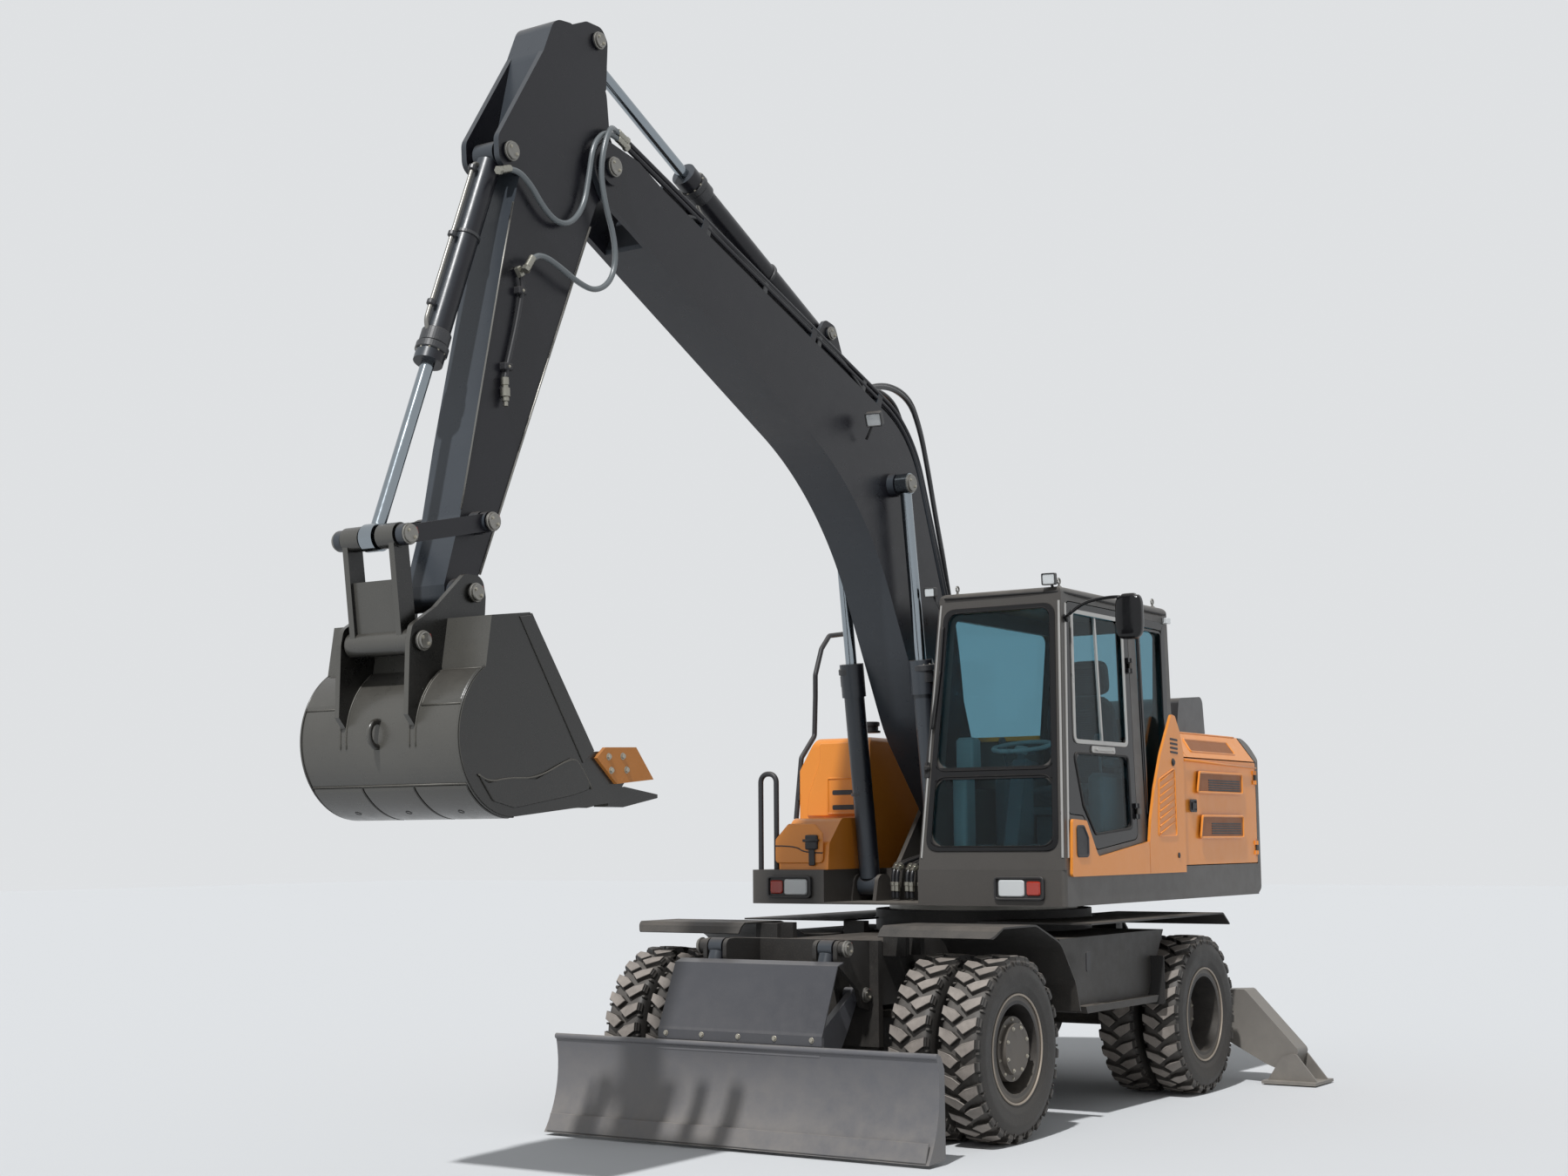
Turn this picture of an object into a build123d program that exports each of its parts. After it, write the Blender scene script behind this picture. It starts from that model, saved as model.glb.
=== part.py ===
from build123d import *
from math import copysign, cos, hypot, pi, radians, sin, tan
import os

# Wheeled excavator with dozer blade and outriggers.
# +X points to the blade end, +Y to the cab side, +Z up, millimetres, ground at z = 0.
# Every x below is counted from the front axle; the finished nodes are moved by ROW_SHIFT_X at the end.

os.makedirs("parts", exist_ok=True)

# ---------- fits and plate thicknesses ----------
SEAT_GAP = 0.3          # between pieces that are bolted or seated on each other
PIN_GAP = 0.3           # radial, pin in its bore across a joint
ROD_GAP = 0.5           # radial, piston rod in its barrel
SIDE_GAP = 10           # beside a link, an eye or an arm
PANEL_GAP = 6           # round doors and lids
PLATE = 25              # lugs and brackets
SKIN = 3                # thin sheet details
HINGE_RADIUS = 12
HINGE_PIN_RADIUS = 6
HINGE_KNUCKLE = 36      # length of the fixed knuckle in the middle of a hinge
HINGE_SLEEVE = 28       # length of each moving sleeve beside it
HINGE_LEAF = 6          # half the thickness of a leaf

# ---------- wheels and axles ----------
TYRE_RADIUS = 503
TYRE_GROOVE_RADIUS = 472
TYRE_WALL_RADIUS = 395
TYRE_HALF_WIDTH = 126
TREAD_HALF_WIDTH = 108
LUG_COUNT = 13          # lugs in each of the two rows of a tyre
TREAD_SPLIT = 5         # half the groove between the rows
BEAD_HALF_WIDTH = 95
BEAD_RADIUS = 254
FLANGE_RADIUS = 292
FLANGE_THICK = 8
RIM_WALL = 14
WHEELBASE = 2634
OUTER_TWIN_Y = 1115
INNER_TWIN_Y = 812
DISC_THICK = 30
HUB_INNER_Y = 700
FRONT_HUB_RADIUS = 174
FRONT_HUB_END_Y = 1192
FRONT_CAP_RADIUS = 139
FRONT_CAP_END_Y = 1222
REAR_HUB_RADIUS = 150
REAR_HUB_END_Y = 1075
SPINDLE_RADIUS = 60
SPINDLE_END_Y = 900
KINGPIN_Y = 600
KINGPIN_RADIUS = 35
KNUCKLE_RADIUS = 130
KNUCKLE_INNER_Y = 560
YOKE_HALF_X = 60
YOKE_ARM_THICK = 40
YOKE_ROOT_Y = 415
AXLE_TUBE_RADIUS = 95
AXLE_POT_RADIUS = 190
AXLE_POT_HALF_Y = 130
STEER_CYLINDER_RADIUS = 35
STEER_CYLINDER_BACK = 170
STEER_CYLINDER_HALF_Y = 300

# ---------- undercarriage ----------
FRAME_HALF_Y = 360
FRAME_TOP_Z = 1060
FRAME_BELLY_Z = 560
FRAME_ARCH_Z = 705
FRAME_REAR_X = -3300
FRAME_ARCH_HALF = 216
NOSE_X = 250
NOSE_THICK = 45
NOSE_HALF_Y = 500
NOSE_BOTTOM_Z = 500
NOSE_TOP_Z = 1080
TIE_DOWN_X = -3640
TIE_DOWN_Y = 250
TIE_DOWN_Z = 720
TIE_DOWN_RADIUS = 25
TIE_DOWN_HALF = 15
SLEW_X = -1930
TURRET_RADIUS = 700
TURRET_TOP_Z = 1190
SLEW_RING_RADIUS = 610
SLEW_RING_BORE = 430
DECK_BOTTOM_Z = 1237
PROPSHAFT_RADIUS = 40
GEARBOX_X = -1450
GEARBOX_HALF_X = 170
GEARBOX_HALF_Y = 150
GEARBOX_BOTTOM_Z = 400

# ---------- fenders and step boxes ----------
FENDER_SHEET = 10
FENDER_INNER_Y = 470
FENDER_OUTER_Y = 1225
FENDER_CORNER = 70
FRONT_FENDER_TOP_Z = 1160
REAR_FENDER_TOP_Z = 1140
REAR_FENDER_FRONT_X = -960
REAR_FENDER_REAR_X = -3000
BOX_INNER_Y = 520
BOX_OUTER_Y = 1170
BOX_TOP_Z = 1055
BOX_BOTTOM_Z = 620
STEP_DEPTH = 70
AIR_TANK_RADIUS = 52
AIR_TANK_GAP = 12

# ---------- blade ----------
BLADE_HALF_Y = 1240
BLADE_TOP = (922, 545)
BLADE_MIDDLE = (902, 330)
BLADE_EDGE = (1020, 18)
BLADE_PLATE = 14
BLADE_SIDE_PLATE = 15
BLADE_SIDE_DEPTH = 170
BLADE_PIVOT = (300, 785)
BLADE_CYLINDER_TOP = (546, 1047)
BLADE_CYLINDER_FOOT = (740, 520)
BLADE_LINK_Y = 365
BLADE_ARM_HALF = 20
BLADE_EYE_RADIUS = 40
BLADE_BOSS_END_Y = 480
BLADE_BRACKET_GAP = 54       # inside each pair of plates, beside the barrel
BLADE_LOW_DEG = 8
BLADE_HIGH_DEG = 26
COVER_TOP = (730, 966)
COVER_FOLD = (884, 625)
COVER_HALF_Y = 535
COVER_SHEET = 8

# ---------- outriggers, in the plane across the machine (y, z) ----------
OUTRIGGER_X = -3450
OUTRIGGER_HALF_X = 95
OUTRIGGER_PIVOT = (450, 500)
OUTRIGGER_LUG = (800, 660)
OUTRIGGER_CYLINDER_TOP = (180, 1000)
OUTRIGGER_FOOT_Y = 1530
OUTRIGGER_FOOT_HALF_Y = 185
OUTRIGGER_FOOT_HALF_X = 175
OUTRIGGER_FOOT_CLEAR = 8

# ---------- revolving frame ----------
DECK_TOP_Z = 1450
DECK_FRONT_X = -870
DECK_HALF_Y = 1111
DECK_EDGE_RADIUS = 30
TAIL_RADIUS = 2390
TAIL_CORNER = 70
TAIL_CORNER_X = SLEW_X - (TAIL_RADIUS**2 - DECK_HALF_Y**2) ** 0.5
DECK_REAR_X = TAIL_CORNER_X + TAIL_CORNER + 11
TAIL_LOW_EDGE = 120
TAIL_TOP_EDGE = 90
BOOM_Y = -220           # the boom stands right of the centre line, beside the cab
WELL_BACK_X = -1480
WELL_FLOOR = 12
BOOM_BRACKET = 30
BULKHEADS_X = (-2672, DECK_REAR_X + 10)
BULKHEAD_THICK = 20

# ---------- cab ----------
CAB_BOTTOM_Z = 1450.3
CAB_TOP_Z = 3150
CAB_FRONT_BOTTOM_X = -870
CAB_FRONT_TOP_X = -1060
CAB_REAR_BOTTOM_X = -2550
CAB_REAR_TOP_X = -2650
CAB_RIGHT_BOTTOM_Y = 125
CAB_RIGHT_TOP_Y = 200
CAB_LEFT_BOTTOM_Y = 1110
CAB_LEFT_TOP_Y = 1030
CAB_WALL = 45
CAB_ROOF = 60
GLASS_THICK = 6
GLASS_DEPTH = 12
MIRROR_X = -890
DOOR_REAR_LOW = (-1940, 1625)
DOOR_REAR_HIGH = (-2000, 3065)
DOOR_HINGES_Z = (1800, 2720)
DOOR_HINGE_IN = 8       # hinge axis ahead of the door's rear edge
DOOR_HINGE_OUT = 14     # hinge axis outside the door's face
DOOR_LEAF = 40

# ---------- upper body panels ----------
HOOD_TOP_Z = 2335
HOOD_SHOULDER_Z = 2163
HOOD_SHOULDER_Y = DECK_HALF_Y - 126
HOOD_FRONT_X = -2740
HOOD_REAR_X = DECK_REAR_X + 20
HOOD_SHEET = 30
HOOD_HINGE = (-2752, 2338)
HOOD_HINGES_Y = (-700, 700)
SIDE_DOOR_FRONT_X = -2640
SIDE_DOOR_REAR_X = DECK_REAR_X + 5
SIDE_DOOR_TOP_Z = 2155
SIDE_HINGE = (DECK_REAR_X + 20, DECK_HALF_Y + 3)
SIDE_HINGES_Z = (1560, 2050)
PANEL_SHEET = 18
TANK_FRONT_X = -1450
TANK_REAR_X = -2610
TANK_INNER_Y = -565
TANK_TOP_Z = 2305
TOOLBOX_FRONT_X = -930
TOOLBOX_OUTER_Y = -930
TOOLBOX_TOP_Z = 1775
RAIL_RADIUS = 17

# ---------- boom, arm and bucket, in the plane along the machine (x, z) ----------
BOOM_FOOT = (-1980, 1800)
BOOM_TIP = (1950, 5140)
BOOM_CYLINDER_FOOT = (-1302, 1345)
BOOM_CYLINDER_EYE = (-930, 3850)
ARM_CYLINDER_FOOT = (-300, 4710)
ARM_CYLINDER_EYE = (2010, 5820)
BUCKET_CYLINDER_FOOT = (2700, 5030)
BUCKET_PIN = (3050, 2790)
BUCKET_LINK_PIN = (3400, 2540)
LINK_PIN = (3470, 3020)
GUIDE_PIN = (2930, 3140)
BOOM_HALF_Y = 162
BOOM_FORK_PLATE = 25
ARM_HALF_Y = 122
BOOM_FOOT_RADIUS = 130
BOOM_TIP_RADIUS = 140
BOOM_CYLINDER_Y = 255
CYLINDER_EYE_HALF = 40
BOOM_CYLINDER_RADIUS = 65
BOOM_ROD_RADIUS = 36
BOOM_CYLINDER_CLOSED = 1500
BOOM_GLAND = 212
ARM_CYLINDER_RADIUS = 66
ARM_ROD_RADIUS = 34
ARM_CYLINDER_CLOSED = 1600
BUCKET_CYLINDER_RADIUS = 64
BUCKET_ROD_RADIUS = 33
BUCKET_CYLINDER_CLOSED = 1290
BLADE_CYLINDER_RADIUS = 48
BLADE_ROD_RADIUS = 25
BLADE_CYLINDER_CLOSED = 398
OUTRIGGER_CYLINDER_RADIUS = 52
OUTRIGGER_ROD_RADIUS = 28
OUTRIGGER_CYLINDER_CLOSED = 455
PIN_RADIUS = 35
SMALL_PIN_RADIUS = 25
EYE_RADIUS = 66
SMALL_EYE_RADIUS = 46
BUCKET_HALF_Y = 495
BUCKET_SHELL = 14
BUCKET_SIDE = 16
BUCKET_EAR_INNER_Y = 200
BUCKET_EAR_PLATE = 28
BUCKET_BACK_CENTRE = (3070, 2113)
BUCKET_BACK_RADIUS = 362
BUCKET_MOUTH_TOP = (2960, 2690)
BUCKET_TOP_REAR = (3225, 2656)
BUCKET_LIP = (2330, 1822)
BUCKET_TEETH_TIP = (1970, 1858)
GUIDE_LINK_INNER_Y = 185
GUIDE_LINK_PLATE = 25
GUIDE_LINK_HALF_DEPTH = 42
LINK_TUBE_RADIUS = 60
GUIDE_PIN_RADIUS = 30
ARM_EYE_SEAT = (5, -86)    # from the rod's eye pin to where the eye comes nearest to the arm
EAR_PLATE = 32
TEETH = 5
PIPE_RADIUS = 14
PIPE_FRONT = (1440, 5174)
PIPE_TOP = (-1188, 4239)
PIPE_REAR = (-1620, 3163)
PIPE_BEND = 745
PIPE_ROWS = ((-148, 0, 1440), (-118, 0, 1440), (118, 0, 1440), (148, 0, 1800), (148, 34, 1800))
CLAMP_OFFSET = 133
CLAMP_HALF = 29
HOSE_RADIUS = 15
UPPER_HOSE = (
    (1800.3, 148, 5302.2), (1889.5, 148, 5334), (2000, 160, 5322), (2092, 163, 5225), (2125, 163, 5050),
    (2165, 163, 4880), (2262, 163, 4765), (2376, 163, 4738), (2485, 163, 4788), (2595, 163, 4892),
    (2712, 163, 4938), (2815, 163, 4897),
)
LOWER_HOSE = (
    (1800.3, 148, 5336.2), (1889.5, 148, 5368), (1985, 190, 5347), (2052, 198, 5205), (2068, 195, 5060),
    (2025, 195, 4905), (1958, 195, 4770), (1938, 195, 4630), (1990, 195, 4508), (2110, 195, 4438),
    (2240, 195, 4450), (2390, 195, 4500), (2510, 195, 4530), (2600, 195, 4512), (2648, 195, 4440),
)

LINK_FRONT_X = LINK_PIN[0] + EYE_RADIUS
TAIL_X = SLEW_X - TAIL_RADIUS
ROW_SHIFT_X = -(LINK_FRONT_X + TAIL_X) / 2
REAR_AXLE_X = -WHEELBASE
AXLE_Z = TYRE_RADIUS
BOOM_PLANE = Plane((0, BOOM_Y, 0), z_dir=(0, 1, 0))
WELL_RIGHT_Y = BOOM_Y - BOOM_CYLINDER_Y - BOOM_CYLINDER_RADIUS - 2 * SIDE_GAP
WELL_LEFT_Y = CAB_RIGHT_BOTTOM_Y - PANEL_GAP


# ---------- shared forms ----------
def box(x0, x1, y0, y1, z0, z1):
    """Box between two corners."""
    centre = Pos((x0 + x1) / 2, (y0 + y1) / 2, (z0 + z1) / 2)
    return centre * Box(abs(x1 - x0), abs(y1 - y0), abs(z1 - z0))


def outline_face(points, place):
    """Closed outline; each point is (a, b) or (a, b, corner radius), put in space by place(a, b)."""
    corners = [place(p[0], p[1]) for p in points]
    radii = [p[2] if len(p) > 2 else 0 for p in points]
    if any(radii):
        return make_face(FilletPolyline(*corners, radius=radii, close=True))
    return make_face(Polyline(*corners, close=True))


def side_plate(points, y0, y1):
    """Outline in x and z, thick from y0 to y1."""
    face = outline_face(points, lambda x, z: (x, y0, z))
    return extrude(face, y1 - y0, dir=(0, 1, 0))


def cross_plate(points, x0, x1):
    """Outline in y and z, thick from x0 to x1."""
    face = outline_face(points, lambda y, z: (x0, y, z))
    return extrude(face, x1 - x0, dir=(1, 0, 0))


def flat_plate(points, z0, z1):
    """Outline in x and y, thick from z0 to z1."""
    face = outline_face(points, lambda x, y: (x, y, z0))
    return extrude(face, z1 - z0, dir=(0, 0, 1))


def rod(start, end, radius):
    """Round bar from start to end."""
    run = Vector(*end) - Vector(*start)
    stand = (Align.CENTER, Align.CENTER, Align.MIN)
    return Plane(start, z_dir=run) * Cylinder(radius, run.length, align=stand)


def cross_pin(spot, y0, y1, radius):
    """Round bar along y at the spot (x, z)."""
    return rod((spot[0], y0, spot[1]), (spot[0], y1, spot[1]), radius)


def wheel_turn(profile, x):
    """Ring about the axle at x from its (radius, y) profile."""
    face = outline_face(profile, lambda r, y: (x, y, AXLE_Z + r))
    return revolve(face, Axis((x, 0, AXLE_Z), (0, 1, 0)))


def mirrored(shape):
    """The same piece on the other side of the machine."""
    return mirror(shape, Plane.XZ)


def boom_mirrored(shape):
    """The same piece on the other side of the boom."""
    return mirror(shape, BOOM_PLANE)


def hinge_fixed(place, reach):
    """Middle knuckle of a hinge with its pin; the axis is local z and the arm leaves along local -x."""
    pin_length = HINGE_KNUCKLE + 2 * HINGE_SLEEVE + 8
    body = Cylinder(HINGE_RADIUS, HINGE_KNUCKLE) + Cylinder(HINGE_PIN_RADIUS, pin_length)
    body += Pos(-reach / 2, 0, 0) * Box(reach, 2 * HINGE_LEAF, HINGE_KNUCKLE)
    return place * body


def hang(body, place, reach, depth):
    """Body with two sleeves on a hinge's pin, their leaves along local x going in by a depth."""
    offset = (HINGE_KNUCKLE + HINGE_SLEEVE) / 2 + 2
    for z in (-offset, offset):
        body += place * Pos(0, 0, z) * Cylinder(HINGE_RADIUS, HINGE_SLEEVE)
        body += place * box(0, reach, -depth, HINGE_LEAF, z - HINGE_SLEEVE / 2, z + HINGE_SLEEVE / 2)
    return body - place * Cylinder(HINGE_PIN_RADIUS + PIN_GAP, 2 * (offset + HINGE_SLEEVE))


def along(start, end, distance):
    """Point (x, z) at a distance from start towards end."""
    length = hypot(end[0] - start[0], end[1] - start[1])
    share = distance / length
    return (start[0] + share * (end[0] - start[0]), start[1] + share * (end[1] - start[1]))


def cylinder_barrel(foot, eye, y, size):
    """Barrel hinged at its foot pin and pointing at the rod's eye; size is one row of CYLINDERS."""
    eye_radius = size["eye_radius"]
    half = size["foot_half"]
    start = along(foot, eye, eye_radius * 0.8)
    mouth = along(foot, eye, size["closed"] - eye_radius - SIDE_GAP)
    gland = along(foot, eye, size["closed"] - eye_radius - SIDE_GAP - size["gland"])
    bottom = along(foot, eye, eye_radius + size["base"])
    body = rod((start[0], y, start[1]), (mouth[0], y, mouth[1]), size["radius"])
    body += rod((gland[0], y, gland[1]), (mouth[0], y, mouth[1]), size["radius"] + size["lip"])
    body += cross_pin(foot, y - half, y + half, eye_radius)
    body -= rod((bottom[0], y, bottom[1]), (eye[0], y, eye[1]), size["rod_radius"] + ROD_GAP)
    body -= cross_pin(foot, y - half - 1, y + half + 1, size["pin_radius"] + PIN_GAP)
    return body


def cylinder_rod(foot, eye, y, size):
    """Piston rod with its eye; it keeps clear of the barrel's bottom when closed."""
    length = hypot(eye[0] - foot[0], eye[1] - foot[1])
    inner = length - size["closed"] + size["eye_radius"] + size["base"] + SIDE_GAP
    start = along(foot, eye, max(inner, size["eye_radius"] + size["base"] + SIDE_GAP))
    body = rod((start[0], y, start[1]), (eye[0], y, eye[1]), size["rod_radius"])
    body += cross_pin(eye, y - size["eye_half"], y + size["eye_half"], size["eye_radius"])
    return body


CYLINDERS = {
    "boom": dict(radius=BOOM_CYLINDER_RADIUS, rod_radius=BOOM_ROD_RADIUS, closed=BOOM_CYLINDER_CLOSED,
                 eye_radius=EYE_RADIUS, eye_half=CYLINDER_EYE_HALF, pin_radius=PIN_RADIUS,
                 foot_half=BOOM_CYLINDER_RADIUS, gland=BOOM_GLAND, lip=12, base=30),
    "arm": dict(radius=ARM_CYLINDER_RADIUS, rod_radius=ARM_ROD_RADIUS, closed=ARM_CYLINDER_CLOSED,
                eye_radius=EYE_RADIUS, eye_half=CYLINDER_EYE_HALF, pin_radius=PIN_RADIUS,
                foot_half=ARM_CYLINDER_RADIUS, gland=90, lip=8, base=30),
    "bucket": dict(radius=BUCKET_CYLINDER_RADIUS, rod_radius=BUCKET_ROD_RADIUS,
                   closed=BUCKET_CYLINDER_CLOSED, eye_radius=EYE_RADIUS, eye_half=CYLINDER_EYE_HALF,
                   pin_radius=PIN_RADIUS, foot_half=BUCKET_CYLINDER_RADIUS, gland=90, lip=8, base=30),
    "blade": dict(radius=BLADE_CYLINDER_RADIUS, rod_radius=BLADE_ROD_RADIUS, closed=BLADE_CYLINDER_CLOSED,
                  eye_radius=SMALL_EYE_RADIUS, eye_half=26, pin_radius=SMALL_PIN_RADIUS,
                  foot_half=BLADE_CYLINDER_RADIUS - 4, gland=30, lip=5, base=8),
    "outrigger": dict(radius=OUTRIGGER_CYLINDER_RADIUS, rod_radius=OUTRIGGER_ROD_RADIUS,
                      closed=OUTRIGGER_CYLINDER_CLOSED, eye_radius=SMALL_EYE_RADIUS, eye_half=30,
                      pin_radius=SMALL_PIN_RADIUS, foot_half=OUTRIGGER_CYLINDER_RADIUS, gland=30, lip=5,
                      base=8),
}


# ---------- wheels ----------
def lug_edge(step, radius, x, y):
    """Point on a tyre at the edge of a lug; step 0 stands on the ground."""
    turn = radians(step * 180 / LUG_COUNT - 90)
    return (x + radius * cos(turn), y, AXLE_Z + radius * sin(turn))


def facet_ring(radius, x, y):
    """Face round the axle with a corner at each lug edge."""
    corners = [lug_edge(step, radius, x, y) for step in range(2 * LUG_COUNT)]
    return make_face(Polyline(*corners, close=True))


def lug_row(first, x, y0, y1):
    """Half of the tread: every second step is a lug, beginning at the first."""
    corners = []
    for step in range(first, 2 * LUG_COUNT, 2):
        for edge, radius in ((step, TYRE_GROOVE_RADIUS), (step, TYRE_RADIUS), (step + 1, TYRE_RADIUS),
                             (step + 1, TYRE_GROOVE_RADIUS)):
            corners.append(lug_edge(edge, radius, x, y0))
    return extrude(make_face(Polyline(*corners, close=True)), y1 - y0, dir=(0, 1, 0))


def tyre(x):
    """One tyre about y = 0 with two staggered rows of lugs."""
    body = extrude(facet_ring(TYRE_GROOVE_RADIUS, x, -TREAD_SPLIT), 2 * TREAD_SPLIT, dir=(0, 1, 0))
    body += lug_row(0, x, -TREAD_HALF_WIDTH, -TREAD_SPLIT)
    body += lug_row(1, x, TREAD_SPLIT, TREAD_HALF_WIDTH)
    flats = 1 / cos(pi / (2 * LUG_COUNT))
    bead = (FLANGE_RADIUS + 3) * flats
    for side in (-1, 1):
        wall = facet_ring(TYRE_WALL_RADIUS, x, side * TYRE_HALF_WIDTH)
        body += loft([facet_ring(TYRE_GROOVE_RADIUS, x, side * TREAD_HALF_WIDTH), wall], ruled=True)
        body -= loft([wall, facet_ring(bead, x, side * BEAD_HALF_WIDTH)], ruled=True)
    bore = facet_ring((BEAD_RADIUS + SEAT_GAP) * flats, x, -TYRE_HALF_WIDTH)
    return body - extrude(bore, 2 * TYRE_HALF_WIDTH, dir=(0, 1, 0))


def twin_tyres(x, side):
    """Two tyres side by side; side is 1 on the left and -1 on the right."""
    one = tyre(x)
    return [Pos(0, side * y, 0) * one for y in (INNER_TWIN_Y, OUTER_TWIN_Y)]


def ring(x, y0, y1, radius, bore):
    """Ring about an axle."""
    body = rod((x, y0, AXLE_Z), (x, y1, AXLE_Z), radius)
    if bore:
        body -= rod((x, y0 - 1, AXLE_Z), (x, y1 + 1, AXLE_Z), bore)
    return body


def twin_rim(x, hub_radius, hub_end, cap_radius, cap_end):
    """Two rims on one hub, on the left side; the hub turns on the spindle."""
    disc_y = (INNER_TWIN_Y + OUTER_TWIN_Y) / 2
    body = ring(x, disc_y - DISC_THICK / 2, disc_y + DISC_THICK / 2, BEAD_RADIUS - RIM_WALL / 2, 0)
    for y in (INNER_TWIN_Y, OUTER_TWIN_Y):
        body += ring(x, y - BEAD_HALF_WIDTH, y + BEAD_HALF_WIDTH, BEAD_RADIUS, BEAD_RADIUS - RIM_WALL)
        for edge in (y - BEAD_HALF_WIDTH - FLANGE_THICK - SEAT_GAP, y + BEAD_HALF_WIDTH + SEAT_GAP):
            body += ring(x, edge, edge + FLANGE_THICK, FLANGE_RADIUS, BEAD_RADIUS - RIM_WALL)
            body += ring(x, edge - SEAT_GAP, edge + FLANGE_THICK + SEAT_GAP, BEAD_RADIUS,
                         BEAD_RADIUS - RIM_WALL)
    body += ring(x, INNER_TWIN_Y + BEAD_HALF_WIDTH, OUTER_TWIN_Y - BEAD_HALF_WIDTH, BEAD_RADIUS - 4,
                 BEAD_RADIUS - RIM_WALL)
    body += ring(x, HUB_INNER_Y, hub_end, hub_radius, 0)
    body += ring(x, hub_end - 1, cap_end, cap_radius, 0)
    body -= ring(x, HUB_INNER_Y - 1, SPINDLE_END_Y + SIDE_GAP, SPINDLE_RADIUS + PIN_GAP, 0)
    return body


# ---------- axles and knuckles ----------
def axle_beam(x, end_y):
    """Axle tube with its gear pot, from -end_y to end_y."""
    body = ring(x, -end_y, end_y, AXLE_TUBE_RADIUS, 0)
    body += ring(x, -AXLE_POT_HALF_Y, AXLE_POT_HALF_Y, AXLE_POT_RADIUS, 0)
    return body


def yoke():
    """Fork at the left end of the steered axle, above and below the knuckle."""
    top = AXLE_Z + KNUCKLE_RADIUS + SIDE_GAP
    arm_end = KINGPIN_Y + YOKE_HALF_X
    rise = top + YOKE_ARM_THICK
    body = box(-YOKE_HALF_X, YOKE_HALF_X, YOKE_ROOT_Y - 30, YOKE_ROOT_Y, 2 * AXLE_Z - rise, rise)
    for z0, z1 in ((top, rise), (2 * AXLE_Z - rise, 2 * AXLE_Z - top)):
        body += box(-YOKE_HALF_X, YOKE_HALF_X, YOKE_ROOT_Y - 1, arm_end, z0, z1)
        body -= rod((0, KINGPIN_Y, z0 - 1), (0, KINGPIN_Y, z1 + 1), KINGPIN_RADIUS + PIN_GAP)
    return body


def front_axle():
    body = axle_beam(0, YOKE_ROOT_Y - 15)
    body += yoke() + mirrored(yoke())
    body += box(-AXLE_POT_RADIUS + 30, AXLE_POT_RADIUS - 30, -80, 80, AXLE_Z, FRAME_ARCH_Z - SEAT_GAP)
    steer = (-STEER_CYLINDER_BACK, AXLE_Z)
    body += cross_pin(steer, -STEER_CYLINDER_HALF_Y, STEER_CYLINDER_HALF_Y, STEER_CYLINDER_RADIUS)
    for y in (-STEER_CYLINDER_HALF_Y + 60, STEER_CYLINDER_HALF_Y - 90):
        body += box(-STEER_CYLINDER_BACK, 0, y, y + 30, AXLE_Z - 25, AXLE_Z + 25)
    return body


def knuckle():
    """Left knuckle with kingpin studs and the wheel's spindle."""
    body = ring(0, KNUCKLE_INNER_Y, HUB_INNER_Y - SIDE_GAP / 2, KNUCKLE_RADIUS, 0)
    reach = KNUCKLE_RADIUS + SIDE_GAP + YOKE_ARM_THICK
    body += rod((0, KINGPIN_Y, AXLE_Z - reach), (0, KINGPIN_Y, AXLE_Z + reach), KINGPIN_RADIUS)
    body += ring(0, KNUCKLE_INNER_Y, SPINDLE_END_Y, SPINDLE_RADIUS, 0)
    body += box(-STEER_CYLINDER_BACK, 0, KNUCKLE_INNER_Y - 20, KNUCKLE_INNER_Y + 20, AXLE_Z - 30, AXLE_Z + 30)
    return body


def rear_axle():
    x = REAR_AXLE_X
    hub_end = HUB_INNER_Y - SIDE_GAP / 2
    body = axle_beam(x, hub_end)
    body += ring(x, hub_end - 60, hub_end, KNUCKLE_RADIUS, 0) + ring(x, -hub_end, 60 - hub_end, KNUCKLE_RADIUS, 0)
    body += ring(x, -SPINDLE_END_Y, SPINDLE_END_Y, SPINDLE_RADIUS, 0)
    for y in (-290, 210):
        body += box(x - 90, x + 90, y, y + 80, AXLE_Z, FRAME_ARCH_Z - SEAT_GAP)
    return body


def drive_shafts():
    """Gearbox under the turret and the shafts to both axles."""
    body = box(GEARBOX_X - GEARBOX_HALF_X, GEARBOX_X + GEARBOX_HALF_X, -GEARBOX_HALF_Y, GEARBOX_HALF_Y,
               GEARBOX_BOTTOM_Z, FRAME_BELLY_Z - SEAT_GAP)
    shaft_z = (GEARBOX_BOTTOM_Z + AXLE_Z) / 2
    front = (-AXLE_POT_RADIUS + 12, 0, AXLE_Z - 10)
    rear = (REAR_AXLE_X + AXLE_POT_RADIUS - 12, 0, AXLE_Z - 10)
    body += rod((GEARBOX_X, 0, shaft_z), front, PROPSHAFT_RADIUS)
    body += rod((GEARBOX_X, 0, shaft_z), rear, PROPSHAFT_RADIUS)
    pots = ring(0, -AXLE_POT_HALF_Y, AXLE_POT_HALF_Y, AXLE_POT_RADIUS + SEAT_GAP, 0)
    pots += ring(REAR_AXLE_X, -AXLE_POT_HALF_Y, AXLE_POT_HALF_Y, AXLE_POT_RADIUS + SEAT_GAP, 0)
    keep_off = box(-STEER_CYLINDER_BACK - 50, -STEER_CYLINDER_BACK + 50, -60, 60, AXLE_Z - 50, AXLE_Z + 50)
    return body - pots - keep_off


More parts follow.
